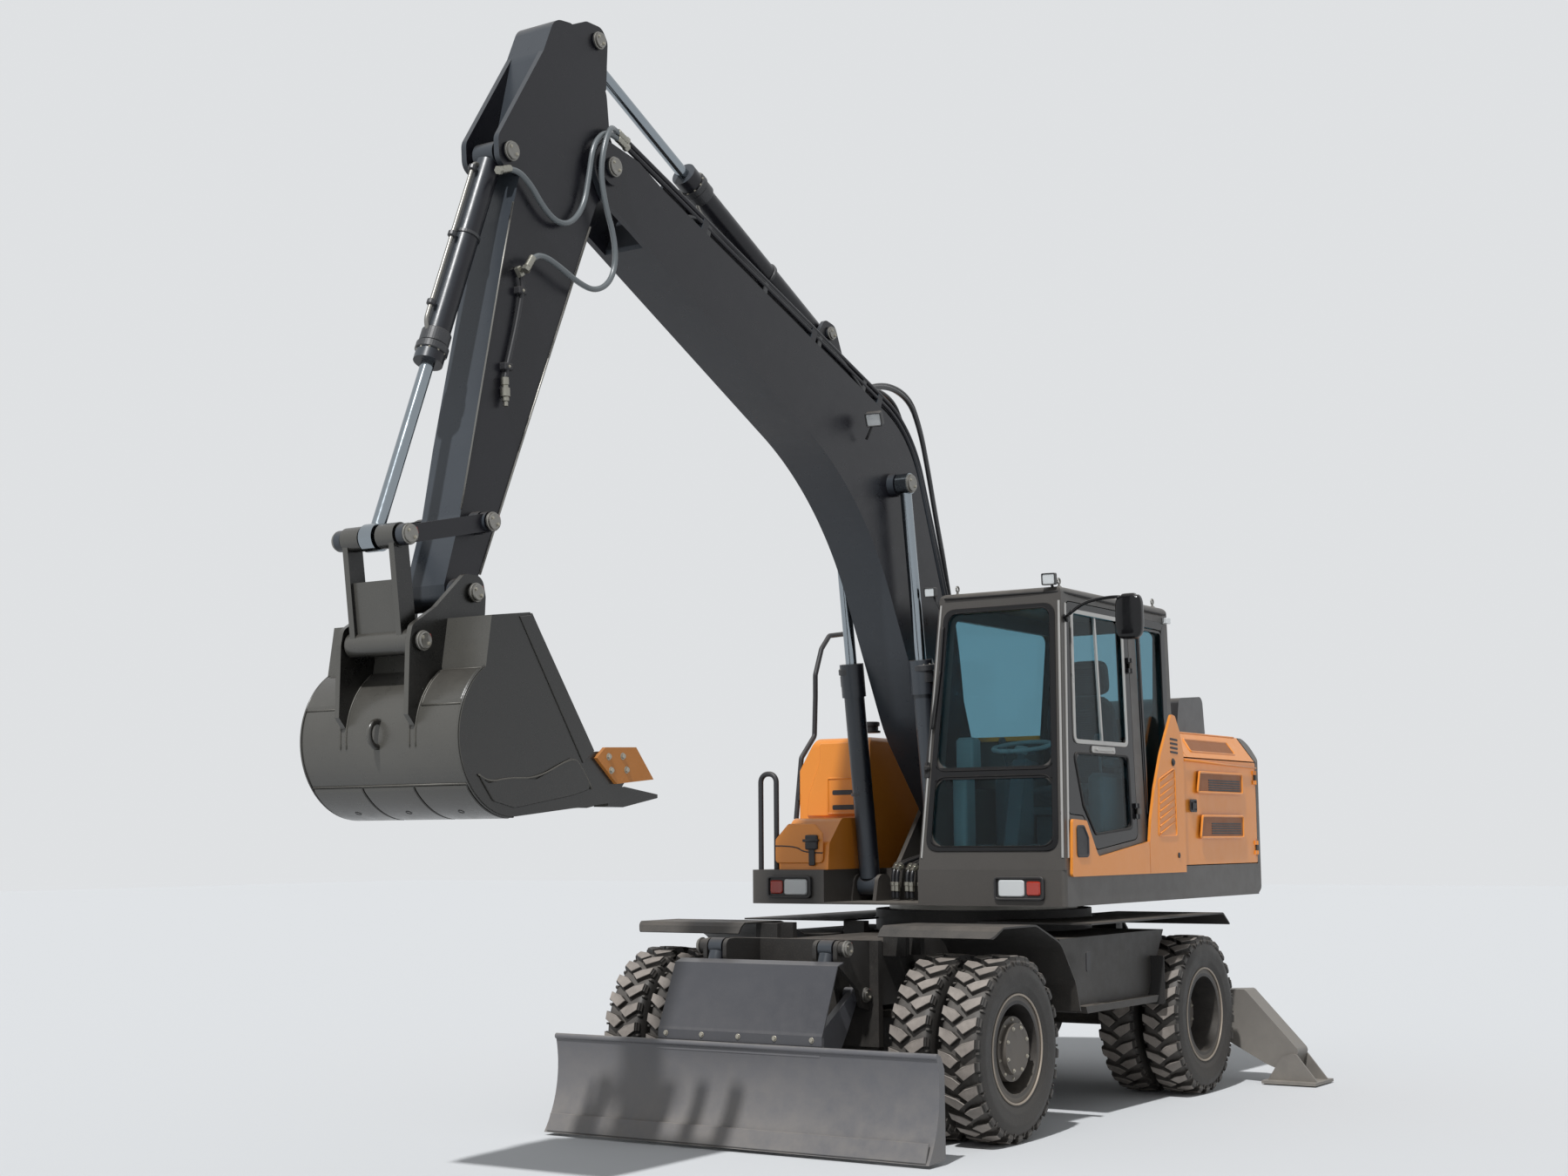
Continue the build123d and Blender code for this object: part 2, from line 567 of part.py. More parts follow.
# ---------- chassis ----------
def chassis_frame():
    rear_arch = REAR_AXLE_X
    outline = [
        (FRAME_REAR_X, FRAME_BELLY_Z), (rear_arch - FRAME_ARCH_HALF - 40, FRAME_BELLY_Z),
        (rear_arch - FRAME_ARCH_HALF, FRAME_ARCH_Z), (rear_arch + FRAME_ARCH_HALF, FRAME_ARCH_Z),
        (rear_arch + FRAME_ARCH_HALF + 40, FRAME_BELLY_Z), (-FRAME_ARCH_HALF - 60, FRAME_BELLY_Z),
        (-FRAME_ARCH_HALF, FRAME_ARCH_Z), (NOSE_X - NOSE_THICK, FRAME_ARCH_Z),
        (NOSE_X - NOSE_THICK, FRAME_TOP_Z), (FRAME_REAR_X, FRAME_TOP_Z),
    ]
    body = side_plate(outline, -FRAME_HALF_Y, FRAME_HALF_Y)
    body += box(NOSE_X - NOSE_THICK, NOSE_X, -NOSE_HALF_Y, NOSE_HALF_Y, NOSE_BOTTOM_Z, NOSE_TOP_Z)
    body += rod((SLEW_X, 0, FRAME_TOP_Z - 1), (SLEW_X, 0, TURRET_TOP_Z), TURRET_RADIUS)
    body += blade_brackets() + mirrored(blade_brackets())
    body += outrigger_carrier()
    return body


def blade_brackets():
    """Left pair of plates that hold the blade arm's pin and the top pin of the blade cylinder."""
    (px, pz), (tx, tz) = BLADE_PIVOT, BLADE_CYLINDER_TOP
    r = SMALL_EYE_RADIUS - 2
    outline = [
        (NOSE_X - 1, pz - 90), (px + 40, pz - 60, 30), (px + 70, pz + 30, 30), (tx + r, tz - 80, 60),
        (tx + r, tz + r, r - 1), (tx - r, tz + r, r - 1), (NOSE_X - 1, NOSE_TOP_Z),
    ]
    clear = BLADE_BRACKET_GAP
    reach = clear + PLATE + SKIN
    body = cross_pin(BLADE_PIVOT, BLADE_LINK_Y - clear - 1, BLADE_LINK_Y + reach, SMALL_PIN_RADIUS)
    body += cross_pin(BLADE_CYLINDER_TOP, BLADE_LINK_Y - clear - 1, BLADE_LINK_Y + reach, SMALL_PIN_RADIUS)
    for y in (BLADE_LINK_Y - clear - PLATE, BLADE_LINK_Y + clear):
        body += side_plate(outline, y, y + PLATE)
    body += cross_pin(BLADE_CYLINDER_TOP, BLADE_LINK_Y + clear + PLATE - 1, BLADE_BOSS_END_Y, BLADE_EYE_RADIUS)
    return body


def outrigger_carrier():
    """Cross box at the rear with plates in front of and behind each outrigger leg."""
    y, z = OUTRIGGER_PIVOT
    top_y, top_z = OUTRIGGER_CYLINDER_TOP
    outline = [
        (-y - 60, z - 60, 40), (y + 60, z - 60, 40), (y + 60, z + 60, 40), (top_y + 70, top_z + 50, 20),
        (-top_y - 70, top_z + 50, 20), (-y - 60, z + 60, 40),
    ]
    near = OUTRIGGER_X + OUTRIGGER_HALF_X + SIDE_GAP
    far = OUTRIGGER_X - OUTRIGGER_HALF_X - SIDE_GAP
    body = cross_plate(outline, near, FRAME_REAR_X + 1)
    body += cross_plate(outline, far - PLATE, far)
    for side in (-1, 1):
        body += rod((far - PLATE - 12, side * y, z), (near + 1, side * y, z), PIN_RADIUS)
        body += rod((far - PLATE - 12, side * top_y, top_z), (near + 1, side * top_y, top_z), SMALL_PIN_RADIUS)
        body += tie_down(far - PLATE, side * TIE_DOWN_Y)
    return body


def tie_down(x, y):
    """Lug with a lashing hole on the rear plate at x."""
    z = TIE_DOWN_Z
    end = TIE_DOWN_X - 2 * TIE_DOWN_RADIUS
    outline = [(x + 1, z - 70), (x + 1, z + 80), (end, z + 50, 40), (end, z - 50, 40)]
    body = side_plate(outline, y - TIE_DOWN_HALF, y + TIE_DOWN_HALF)
    return body - cross_pin((TIE_DOWN_X, z), y - TIE_DOWN_HALF - 1, y + TIE_DOWN_HALF + 1, TIE_DOWN_RADIUS)


def slew_bearing():
    body = rod((SLEW_X, 0, TURRET_TOP_Z + SEAT_GAP), (SLEW_X, 0, DECK_BOTTOM_Z - SEAT_GAP), SLEW_RING_RADIUS)
    return body - rod((SLEW_X, 0, TURRET_TOP_Z), (SLEW_X, 0, DECK_BOTTOM_Z), SLEW_RING_BORE)


# ---------- fenders and boxes ----------
def fenders():
    """Four sheet fenders; the front pair curves down behind the steered wheels."""
    top = FRONT_FENDER_TOP_Z
    s = FENDER_SHEET
    front = [
        (205, top - 60), (175, top - 22), (140, top, 20), (-250, top, 120), (-560, top - 110, 180),
        (-745, top - 350, 120), (-800, top - 510), (-800 + s, top - 510), (-745 + s, top - 350 + 3, 120),
        (-560 + 5, top - 110 - s, 180), (-250, top - s, 120), (140, top - s, 20), (168, top - 30), (197, top - 64),
    ]
    rear_top = REAR_FENDER_TOP_Z
    rear = [
        (REAR_FENDER_FRONT_X, rear_top), (REAR_FENDER_REAR_X, rear_top, 60),
        (REAR_FENDER_REAR_X - 110, rear_top - 75), (REAR_FENDER_REAR_X - 104, rear_top - 83),
        (REAR_FENDER_REAR_X + 2, rear_top - s, 60), (REAR_FENDER_FRONT_X, rear_top - s),
    ]
    left = [side_plate(front, FENDER_INNER_Y, FENDER_OUTER_Y), side_plate(rear, FENDER_INNER_Y, FENDER_OUTER_Y)]
    foot = FRAME_TOP_Z - 80
    for x in (-60, -230):
        left[0] += box(x - 20, x + 20, FRAME_HALF_Y + SEAT_GAP, FENDER_INNER_Y + 40, foot, top - s + 1)
    for x in (-1050, -2900):
        left[1] += box(x - 30, x + 30, FRAME_HALF_Y + SEAT_GAP, FENDER_INNER_Y + 40, foot, rear_top - s + 1)
    left[1] -= rod((SLEW_X, 0, FRAME_TOP_Z), (SLEW_X, 0, DECK_BOTTOM_Z), TURRET_RADIUS + 20)
    plan = [(205 + 1, FENDER_INNER_Y - 1), (205 + 1, FENDER_OUTER_Y, FENDER_CORNER),
            (REAR_FENDER_REAR_X, FENDER_OUTER_Y), (REAR_FENDER_REAR_X, FRAME_HALF_Y - 1), (0, FRAME_HALF_Y - 1)]
    left[0] &= flat_plate(plan, 0, top + 1)
    return left + [mirrored(piece) for piece in left]


def step_boxes():
    """Tool box with a step between the wheels on each side, and an air tank on the left."""
    outline = [
        (-790, BOX_TOP_Z), (-1000, BOX_BOTTOM_Z, 20), (-2000, BOX_BOTTOM_Z, 20), (-2290, BOX_TOP_Z),
    ]
    body = side_plate(outline, BOX_INNER_Y, BOX_OUTER_Y - STEP_DEPTH)
    foot = [(-980, BOX_BOTTOM_Z + 40), (-1000, BOX_BOTTOM_Z), (-2000, BOX_BOTTOM_Z), (-2030, BOX_BOTTOM_Z + 40)]
    body += side_plate(foot, BOX_OUTER_Y - STEP_DEPTH - 1, BOX_OUTER_Y)
    body += box(-1900, -1100, FRAME_HALF_Y + SEAT_GAP, BOX_INNER_Y + 1, 700, 950)
    return [body, mirrored(body)]


def air_tank():
    x = -390
    y = FRAME_HALF_Y + AIR_TANK_RADIUS + AIR_TANK_GAP
    body = rod((x, y, 640), (x, y, 930), AIR_TANK_RADIUS)
    body += box(x - 20, x + 20, FRAME_HALF_Y + SEAT_GAP, y, 760, 810)
    return body


# ---------- blade ----------
def blade():
    """Curved mouldboard with side plates, a rolled top edge, torsion tube and two arms."""
    (tx, tz), (mx, mz), (ex, ez) = BLADE_TOP, BLADE_MIDDLE, BLADE_EDGE
    y0 = -BLADE_HALF_Y

    def section(shift, y):
        front = ThreePointArc((tx - shift, y, tz), (mx - shift, y, mz), (ex - shift, y, ez))
        return front

    face_arc = section(0, y0)
    back_arc = section(BLADE_PLATE, y0)
    top = Line(back_arc @ 0, face_arc @ 0)
    low = Line(face_arc @ 1, back_arc @ 1)
    board = extrude(make_face([top, face_arc, low, back_arc]), 2 * BLADE_HALF_Y, dir=(0, 1, 0))
    roll = (tx - BLADE_PLATE / 2, tz - 4)
    board += cross_pin(roll, -BLADE_HALF_Y, BLADE_HALF_Y, 16)
    back_x = mx - BLADE_SIDE_DEPTH / 3
    for side in (-1, 1):
        inner = side * (BLADE_HALF_Y - BLADE_SIDE_PLATE)
        side_arc = section(0, inner)
        end = [(ex, ez), (back_x, ez + 10), (back_x, tz - 70), (tx - 40, tz)]
        rim = Polyline((ex, inner, ez), *[(x, inner, z) for x, z in end[1:]], (tx, inner, tz))
        board += extrude(make_face([side_arc, rim]), BLADE_SIDE_PLATE, dir=(0, side, 0))
    tube_x = mx - BLADE_PLATE - 42
    board += box(tube_x, mx - BLADE_PLATE / 2, -1050, 1050, mz - 45, mz + 45)
    seat = COVER_FOLD[0] + 9 - COVER_SHEET - SEAT_GAP
    board += box(seat - 11, seat, -COVER_HALF_Y, COVER_HALF_Y, tz - 25, COVER_FOLD[1] - 25)
    board += box(COVER_FOLD[0] - 10, tx - BLADE_PLATE / 2, -COVER_HALF_Y, COVER_HALF_Y, tz - 40, tz - 20)
    for side in (-1, 1):
        board += blade_arm(side * BLADE_LINK_Y, tube_x, mz)
    board += box(520, 560, -BLADE_LINK_Y, BLADE_LINK_Y, 500, 580)
    return board


def blade_arm(y, tube_x, tube_z):
    """Arm from the pivot to the mouldboard with the lugs of the cylinder's rod."""
    px, pz = BLADE_PIVOT
    half = BLADE_ARM_HALF
    outline = [
        (px - 10, pz - 38), (px + 35, pz + 15), (tube_x + 30, tube_z + 150), (tube_x + 30, tube_z - 100),
        (px + 330, tube_z - 60, 60), (px + 90, pz - 190, 60),
    ]
    body = side_plate(outline, y - half, y + half)
    boss = BLADE_BRACKET_GAP - SIDE_GAP
    body += cross_pin(BLADE_PIVOT, y - boss, y + boss, BLADE_EYE_RADIUS)
    body -= cross_pin(BLADE_PIVOT, y - boss - 1, y + boss + 1, SMALL_PIN_RADIUS + PIN_GAP)
    lug_x, lug_z = BLADE_CYLINDER_FOOT
    lug = [(lug_x - 100, lug_z - 130), (lug_x - 50, lug_z + 50, 40), (lug_x + 50, lug_z + 50, 40),
           (lug_x + 110, lug_z - 130)]
    gap = CYLINDERS["blade"]["eye_half"] + SIDE_GAP
    for start in (-gap - 14, gap):
        body += side_plate(lug, y + start, y + start + 14)
        body += side_plate([(lug_x - 100, lug_z - 130), (lug_x + 110, lug_z - 130), (lug_x + 110, lug_z - 90),
                            (lug_x - 90, lug_z - 90)], y - gap - 14, y + gap + 14)
    notch = SMALL_EYE_RADIUS + SIDE_GAP
    body -= cross_pin(BLADE_CYLINDER_FOOT, y - gap, y + gap, notch)
    return body - side_plate([(lug_x - notch, lug_z), (lug_x - notch - 60, lug_z + 160),
                              (lug_x + notch - 60, lug_z + 160), (lug_x + notch, lug_z)], y - gap, y + gap)


def blade_cover():
    """Folded sheet in front of the blade cylinders, with a flange at its foot."""
    (tx, tz), (fx, fz) = COVER_TOP, COVER_FOLD
    low = BLADE_TOP[1] + 12
    s = COVER_SHEET
    outline = [(tx, tz), (fx, fz), (fx + 9, fz - 15), (fx + 9, low), (fx + 9 - s, low), (fx + 9 - s, fz - 13),
               (fx - s, fz - 2), (tx - s, tz - 2), (tx - 60, tz + 10), (tx - 60, tz + 10 + s)]
    return side_plate(outline, -COVER_HALF_Y, COVER_HALF_Y)


# ---------- outriggers ----------
def outrigger():
    """Left outrigger leg with its foot plate."""
    py, pz = OUTRIGGER_PIVOT
    ly, lz = OUTRIGGER_LUG
    fy = OUTRIGGER_FOOT_Y
    ground = OUTRIGGER_FOOT_CLEAR
    leg = [
        (py - 62, pz + 10, 40), (ly - 90, lz - 70), (1215, 615, 30), (fy + 50, 225, 40), (fy - 10, ground + 60, 20),
        (1355, 128), (1115, 255), (py + 180, pz - 95, 60), (py - 20, pz - 62, 40),
    ]
    x0 = OUTRIGGER_X - OUTRIGGER_HALF_X
    x1 = OUTRIGGER_X + OUTRIGGER_HALF_X
    body = cross_plate(leg, x0, x1)
    eye_half = CYLINDERS["outrigger"]["eye_half"] + SIDE_GAP
    lug = [(ly - 120, lz - 100), (ly - 45, lz + 45, 35), (ly + 45, lz + 45, 35), (ly + 130, lz - 70)]
    for start in (-eye_half - 16, eye_half):
        body += cross_plate(lug, OUTRIGGER_X + start, OUTRIGGER_X + start + 16)
    slot = box(OUTRIGGER_X - eye_half, OUTRIGGER_X + eye_half, py - 80, ly + 60, lz - SMALL_EYE_RADIUS - SIDE_GAP,
               lz + 200)
    body -= slot
    body -= rod((x0 - 1, py, pz), (x1 + 1, py, pz), PIN_RADIUS + PIN_GAP)
    half_y = OUTRIGGER_FOOT_HALF_Y
    half_x = OUTRIGGER_FOOT_HALF_X
    body += box(OUTRIGGER_X - half_x, OUTRIGGER_X + half_x, fy - half_y, fy + half_y, ground, ground + 20)
    cheek = [(fy - half_y + 20, ground + 19), (fy - 60, ground + 180, 40), (fy + 30, ground + 200, 40),
             (fy + half_y - 10, ground + 19)]
    for start in (-OUTRIGGER_HALF_X - 16, OUTRIGGER_HALF_X - 1):
        body += cross_plate(cheek, OUTRIGGER_X + start, OUTRIGGER_X + start + 17)
    return body


def across(shape):
    """A cylinder made in the x-z plane, put in the y-z plane of the outriggers."""
    return Pos(OUTRIGGER_X, 0, 0) * Rot(0, 0, 90) * shape


# ---------- revolving frame ----------
def revolving_frame():
    """Deck with the well for the boom cylinders, boom brackets and the two bulkheads behind the cab."""
    deck = flat_plate([
        (DECK_FRONT_X, -DECK_HALF_Y, DECK_EDGE_RADIUS), (DECK_FRONT_X, DECK_HALF_Y, DECK_EDGE_RADIUS),
        (DECK_REAR_X, DECK_HALF_Y), (DECK_REAR_X, -DECK_HALF_Y),
    ], DECK_BOTTOM_Z, DECK_TOP_Z)
    deck -= box(WELL_BACK_X, DECK_FRONT_X + 1, WELL_RIGHT_Y, WELL_LEFT_Y, DECK_BOTTOM_Z + WELL_FLOOR,
                DECK_TOP_Z + 1)
    (jx, jz), (ix, iz) = BOOM_FOOT, BOOM_CYLINDER_FOOT
    bracket = [(WELL_BACK_X - 20, DECK_TOP_Z - 1), (jx + 90, jz + 90, 70), (jx - 90, jz + 90, 70),
               (jx - 500, DECK_TOP_Z - 1)]
    near = BOOM_HALF_Y + SIDE_GAP
    for y in (BOOM_Y - near - BOOM_BRACKET, BOOM_Y + near):
        deck += side_plate(bracket, y, y + BOOM_BRACKET)
    deck += cross_pin(BOOM_FOOT, BOOM_Y - near - BOOM_BRACKET - 12, BOOM_Y + near + BOOM_BRACKET + 12, 45)
    lug = [(ix - 110, DECK_BOTTOM_Z + 1), (ix - 70, iz + 70, 60), (ix + 70, iz + 70, 60),
           (ix + 110, DECK_BOTTOM_Z + 1)]
    gap = BOOM_CYLINDER_RADIUS + SIDE_GAP
    for y in (BOOM_Y - BOOM_CYLINDER_Y, BOOM_Y + BOOM_CYLINDER_Y):
        deck += side_plate(lug, y - gap - PLATE, y - gap)
        deck += side_plate(lug, y + gap, y + gap + PLATE)
        deck += cross_pin(BOOM_CYLINDER_FOOT, y - gap - 1, y + gap + 1, PIN_RADIUS)
    for x, inset in zip(BULKHEADS_X, (HOOD_SHEET + SEAT_GAP, HOOD_SHEET + PANEL_GAP)):
        deck += cross_plate(under_hood(inset, DECK_TOP_Z - 1), x, x + BULKHEAD_THICK)
    hinge_x, hinge_y = SIDE_HINGE
    for z in SIDE_HINGES_Z:
        post = hinge_fixed(Plane((hinge_x, hinge_y, z), x_dir=(0, 1, 0), z_dir=(0, 0, 1)), 54)
        deck += post + mirrored(post)
    return deck


def hood_section(inset):
    """Top of the engine bay across the machine, drawn in by an inset."""
    rise = HOOD_TOP_Z - HOOD_SHOULDER_Z
    run = DECK_HALF_Y - HOOD_SHOULDER_Y
    slope = hypot(rise, run)
    low_y = DECK_HALF_Y - inset * slope / rise
    top_y = HOOD_SHOULDER_Y - inset * (slope - run) / rise
    return [(low_y, HOOD_SHOULDER_Z), (top_y, HOOD_TOP_Z - inset), (-top_y, HOOD_TOP_Z - inset),
            (-low_y, HOOD_SHOULDER_Z)]


def under_hood(inset, bottom):
    """The same section carried down to a bottom height."""
    section = hood_section(inset)
    low_y = section[0][0]
    return [(low_y, bottom), *section, (-low_y, bottom)]


def hood_shell():
    """Section of the hood's sheet."""
    return hood_section(0) + hood_section(HOOD_SHEET)[::-1]


def counterweight():
    """Tail in the swing radius; its top follows the hood and its rear corners are rounded."""
    profile = [(0, DECK_BOTTOM_Z), (TAIL_RADIUS, DECK_BOTTOM_Z, TAIL_LOW_EDGE),
               (TAIL_RADIUS, HOOD_TOP_Z, TAIL_TOP_EDGE), (0, HOOD_TOP_Z)]
    face = outline_face(profile, lambda r, z: (SLEW_X - r, 0, z))
    body = revolve(face, Axis((SLEW_X, 0, 0), (0, 0, 1)))
    front = DECK_REAR_X - SEAT_GAP
    back = TAIL_X - 5
    rear_y = DECK_HALF_Y - (TAIL_CORNER_X - back) * (SLEW_X - TAIL_CORNER_X) / DECK_HALF_Y
    plan = [(front, -DECK_HALF_Y), (front, DECK_HALF_Y), (TAIL_CORNER_X, DECK_HALF_Y, TAIL_CORNER), (back, rear_y),
            (back, -rear_y), (TAIL_CORNER_X, -DECK_HALF_Y, TAIL_CORNER)]
    body &= flat_plate(plan, DECK_BOTTOM_Z - 1, HOOD_TOP_Z + 1)
    return body & cross_plate(under_hood(0, DECK_BOTTOM_Z - 1), back - 5, front)


# ---------- cab ----------
def cab_share(z):
    return (z - CAB_BOTTOM_Z) / (CAB_TOP_Z - CAB_BOTTOM_Z)


def cab_front(z):
    return CAB_FRONT_BOTTOM_X + cab_share(z) * (CAB_FRONT_TOP_X - CAB_FRONT_BOTTOM_X)


def cab_rear(z):
    return CAB_REAR_BOTTOM_X + cab_share(z) * (CAB_REAR_TOP_X - CAB_REAR_BOTTOM_X)


def cab_right(z):
    return CAB_RIGHT_BOTTOM_Y + cab_share(z) * (CAB_RIGHT_TOP_Y - CAB_RIGHT_BOTTOM_Y)


def cab_left(z):
    return CAB_LEFT_BOTTOM_Y + cab_share(z) * (CAB_LEFT_TOP_Y - CAB_LEFT_BOTTOM_Y)


def cab_block(inset, z0, z1, corner=0):
    """Leaning block of the cab, drawn in by an inset on its four sides."""
    sides = side_plate([
        (cab_front(z0) - inset, z0), (cab_front(z1) - inset, z1, corner), (cab_rear(z1) + inset, z1, corner),
        (cab_rear(z0) + inset, z0),
    ], 0, 1400)
    ends = cross_plate([
        (cab_right(z0) + inset, z0), (cab_right(z1) + inset, z1, corner), (cab_left(z1) - inset, z1, corner),
        (cab_left(z0) - inset, z0),
    ], -2800, -700)
    return sides & ends


def shrink(points, gap):
    """Outline drawn in by a gap towards its middle."""
    middle_a = sum(p[0] for p in points) / len(points)
    middle_b = sum(p[1] for p in points) / len(points)
    return [(p[0] + copysign(gap, middle_a - p[0]), p[1] + copysign(gap, middle_b - p[1]), *p[2:]) for p in points]


def sloped(z0, z1, front_gap, rear0, rear1, corner):
    """Side opening whose front edge follows the front pillar."""
    return [(cab_front(z0) - front_gap, z0, corner), (cab_front(z1) - front_gap, z1, corner),
            (rear1, z1, corner), (rear0, z0, corner)]


def upright(z0, z1, margin, corner):
    """Front opening with its sides along the pillars."""
    return [(cab_right(z0) + margin, z0, corner), (cab_right(z1) + margin, z1, corner),
            (cab_left(z1) - margin, z1, corner), (cab_left(z0) - margin, z0, corner)]


DOOR_OPENING = [
    (cab_front(1775) - 55, 1775, 30), (-1160, 1765, 40), (-1310, 1560, 60), (*DOOR_REAR_LOW, 60),
    (*DOOR_REAR_HIGH, 60), (cab_front(3065) - 55, 3065, 60),
]
LOW_WINDOW = [(-1335, 1665, 60), (-1185, 1830, 60), (cab_front(2135) - 150, 2135, 60), (-1860, 2135, 60),
              (-1845, 1700, 60)]
DOOR_WINDOWS = (sloped(2225, 3000, 150, -1865, -1910, 60), LOW_WINDOW)
LEFT_WINDOW = [(-2070, 1780, 50), (-2110, 3000, 50), (-2540, 3000, 50), (-2440, 1780, 50)]
RIGHT_WINDOW = [(-1080, 1950, 60), (-1190, 3000, 60), (-2540, 3000, 60), (-2450, 1950, 60)]
FRONT_WINDOWS = (upright(2065, 3030, 72, 80), upright(1590, 2000, 72, 90))
REAR_WINDOW = [(300, 2420, 60), (300, 3000, 60), (950, 3000, 60), (950, 2420, 60)]


def left_prism(points):
    return side_plate(points, 700, 1400)


def right_prism(points):
    return side_plate(points, 0, 600)


def front_prism(points):
    return cross_plate(points, -1500, -700)


def rear_prism(points):
    return cross_plate(points, -2800, -2000)


def cab_shell():
    body = cab_block(0, CAB_BOTTOM_Z, CAB_TOP_Z, 40)
    body -= cab_block(CAB_WALL, CAB_BOTTOM_Z + CAB_WALL, CAB_TOP_Z - CAB_ROOF)
    body -= left_prism(DOOR_OPENING)
    body -= left_prism(LEFT_WINDOW)
    body -= right_prism(RIGHT_WINDOW)
    body -= rear_prism(REAR_WINDOW)
    for window in FRONT_WINDOWS:
        body -= front_prism(window)
    for z in DOOR_HINGES_Z:
        place = door_hinge_place(z)
        half = HINGE_KNUCKLE / 2
        foot = box(-DOOR_LEAF, -DOOR_LEAF + 24, -DOOR_HINGE_OUT - 3, 0, -half, half)
        body += hinge_fixed(place, DOOR_LEAF) + place * foot
    return body


def door_hinge_place(z):
    """Plane at a height on the door's hinge axis: local z up the axis, local x forward."""
    (low_x, low_z), (high_x, high_z) = DOOR_REAR_LOW, DOOR_REAR_HIGH
    lean = (high_x - low_x) / (high_z - low_z)
    side_lean = (CAB_LEFT_TOP_Y - CAB_LEFT_BOTTOM_Y) / (CAB_TOP_Z - CAB_BOTTOM_Z)
    x = low_x + lean * (z - low_z) + PANEL_GAP + DOOR_HINGE_IN
    return Plane((x, cab_left(z) + DOOR_HINGE_OUT, z), x_dir=(1, 0, 0), z_dir=(lean, side_lean, 1))


def pane_layer():
    """Thin leaning layer that every window pane is cut from."""
    z0 = CAB_BOTTOM_Z + 20
    z1 = CAB_TOP_Z - 20
    return cab_block(GLASS_DEPTH, z0, z1) - cab_block(GLASS_DEPTH + GLASS_THICK, z0 - 1, z1 + 1)


def cab_glass():
    layer = pane_layer()
    panes = [layer & left_prism(shrink(LEFT_WINDOW, SEAT_GAP)), layer & right_prism(shrink(RIGHT_WINDOW, SEAT_GAP)),
             layer & rear_prism(shrink(REAR_WINDOW, SEAT_GAP))]
    panes += [layer & front_prism(shrink(window, SEAT_GAP)) for window in FRONT_WINDOWS]
    return panes


def cab_door():
    z0 = CAB_BOTTOM_Z + 20
    z1 = CAB_TOP_Z - 20
    wall = cab_block(0, z0, z1) - cab_block(CAB_WALL, z0 - 1, z1 + 1)
    body = wall & left_prism(shrink(DOOR_OPENING, PANEL_GAP))
    for window in DOOR_WINDOWS:
        body -= left_prism(window)
    for z in DOOR_HINGES_Z:
        body = hang(body, door_hinge_place(z), DOOR_LEAF, DOOR_HINGE_OUT + 3)
    return body


def cab_door_glass():
    layer = pane_layer()
    return [layer & left_prism(shrink(window, SEAT_GAP)) for window in DOOR_WINDOWS]


def cab_interior():
    """Seat, consoles, floor mat and steering column."""
    floor = CAB_BOTTOM_Z + CAB_WALL + SEAT_GAP
    y = (CAB_RIGHT_BOTTOM_Y + CAB_LEFT_BOTTOM_Y) / 2
    seat = box(-2250, -1750, y - 240, y + 240, floor, floor + 330)
    seat += box(-2310, -1720, y - 260, y + 260, floor + 320, floor + 460)
    back = [(-2120, floor + 400), (-2230, floor + 1080), (-2345, floor + 1080), (-2275, floor + 400)]
    seat += side_plate(back, y - 235, y + 235)
    head = [(-2245, floor + 1040), (-2262, floor + 1290, 30), (-2325, floor + 1290, 30), (-2325, floor + 1040)]
    seat += side_plate(head, y - 140, y + 140)
    consoles = [box(-2200, -1650, y + s * 330 - 60, y + s * 330 + 60, floor, floor + 560) for s in (-1, 1)]
    foot = [(-1350, floor), (-1350, floor + 80), (-1230, floor + 80), (-1350, floor + 640), (-1270, floor + 655),
            (-1130, floor + 80), (-1080, floor + 60), (-1080, floor)]
    column = side_plate(foot, y - 45, y + 45)
    hub = (-1312, y, floor + 668)
    rim = (-1318, y, floor + 694)
    wheel = rod(hub, rim, 190) - rod((-1306, y, floor + 642), (-1324, y, floor + 720), 160)
    wheel += box(-1330, -1300, y - 170, y + 170, floor + 676, floor + 686)
    column += rod((-1300, y, floor + 600), hub, 30)
    column += rod(hub, rim, 45)
    return [seat, *consoles, column + wheel]


# ---------- panels, tank and engine ----------
def side_panels():
    """Wing panel behind the door, sill under the door and the fixed strip in front of the hood."""
    low = DECK_TOP_Z - 40
    wing = [(-2056, low), (-2056, 1611), (-2085, 1753, 100), (-2153, 1946, 200), (-2265, 2171, 200),
            (-2453, 2432, 25), (-2510, 2423, 25), (-2575, 2334, 40), (-2634, 2190), (-2634, low)]
    y = DECK_HALF_Y + SEAT_GAP
    wing_panel = side_plate(wing, y, y + PANEL_SHEET)
    sill = [(-930, low, 20), (-949, 1748, 20), (-1138, 1739, 30), (-1205, 1646), (-1295, 1521, 60), (-2050, 1611),
            (-2050, low)]
    sill_panel = side_plate(sill, y, y + PANEL_SHEET)
    strip = cross_plate(hood_shell(), HOOD_FRONT_X + PANEL_GAP, SIDE_DOOR_FRONT_X)
    for hinge_y in HOOD_HINGES_Y:
        strip += hinge_fixed(hood_hinge_place(hinge_y), 50)
    return [wing_panel, sill_panel, strip]


def hood_hinge_place(y):
    """Plane on the hood's hinge axis: local z along the axis, local x to the rear."""
    return Plane((HOOD_HINGE[0], y, HOOD_HINGE[1]), x_dir=(-1, 0, 0), z_dir=(0, 1, 0))


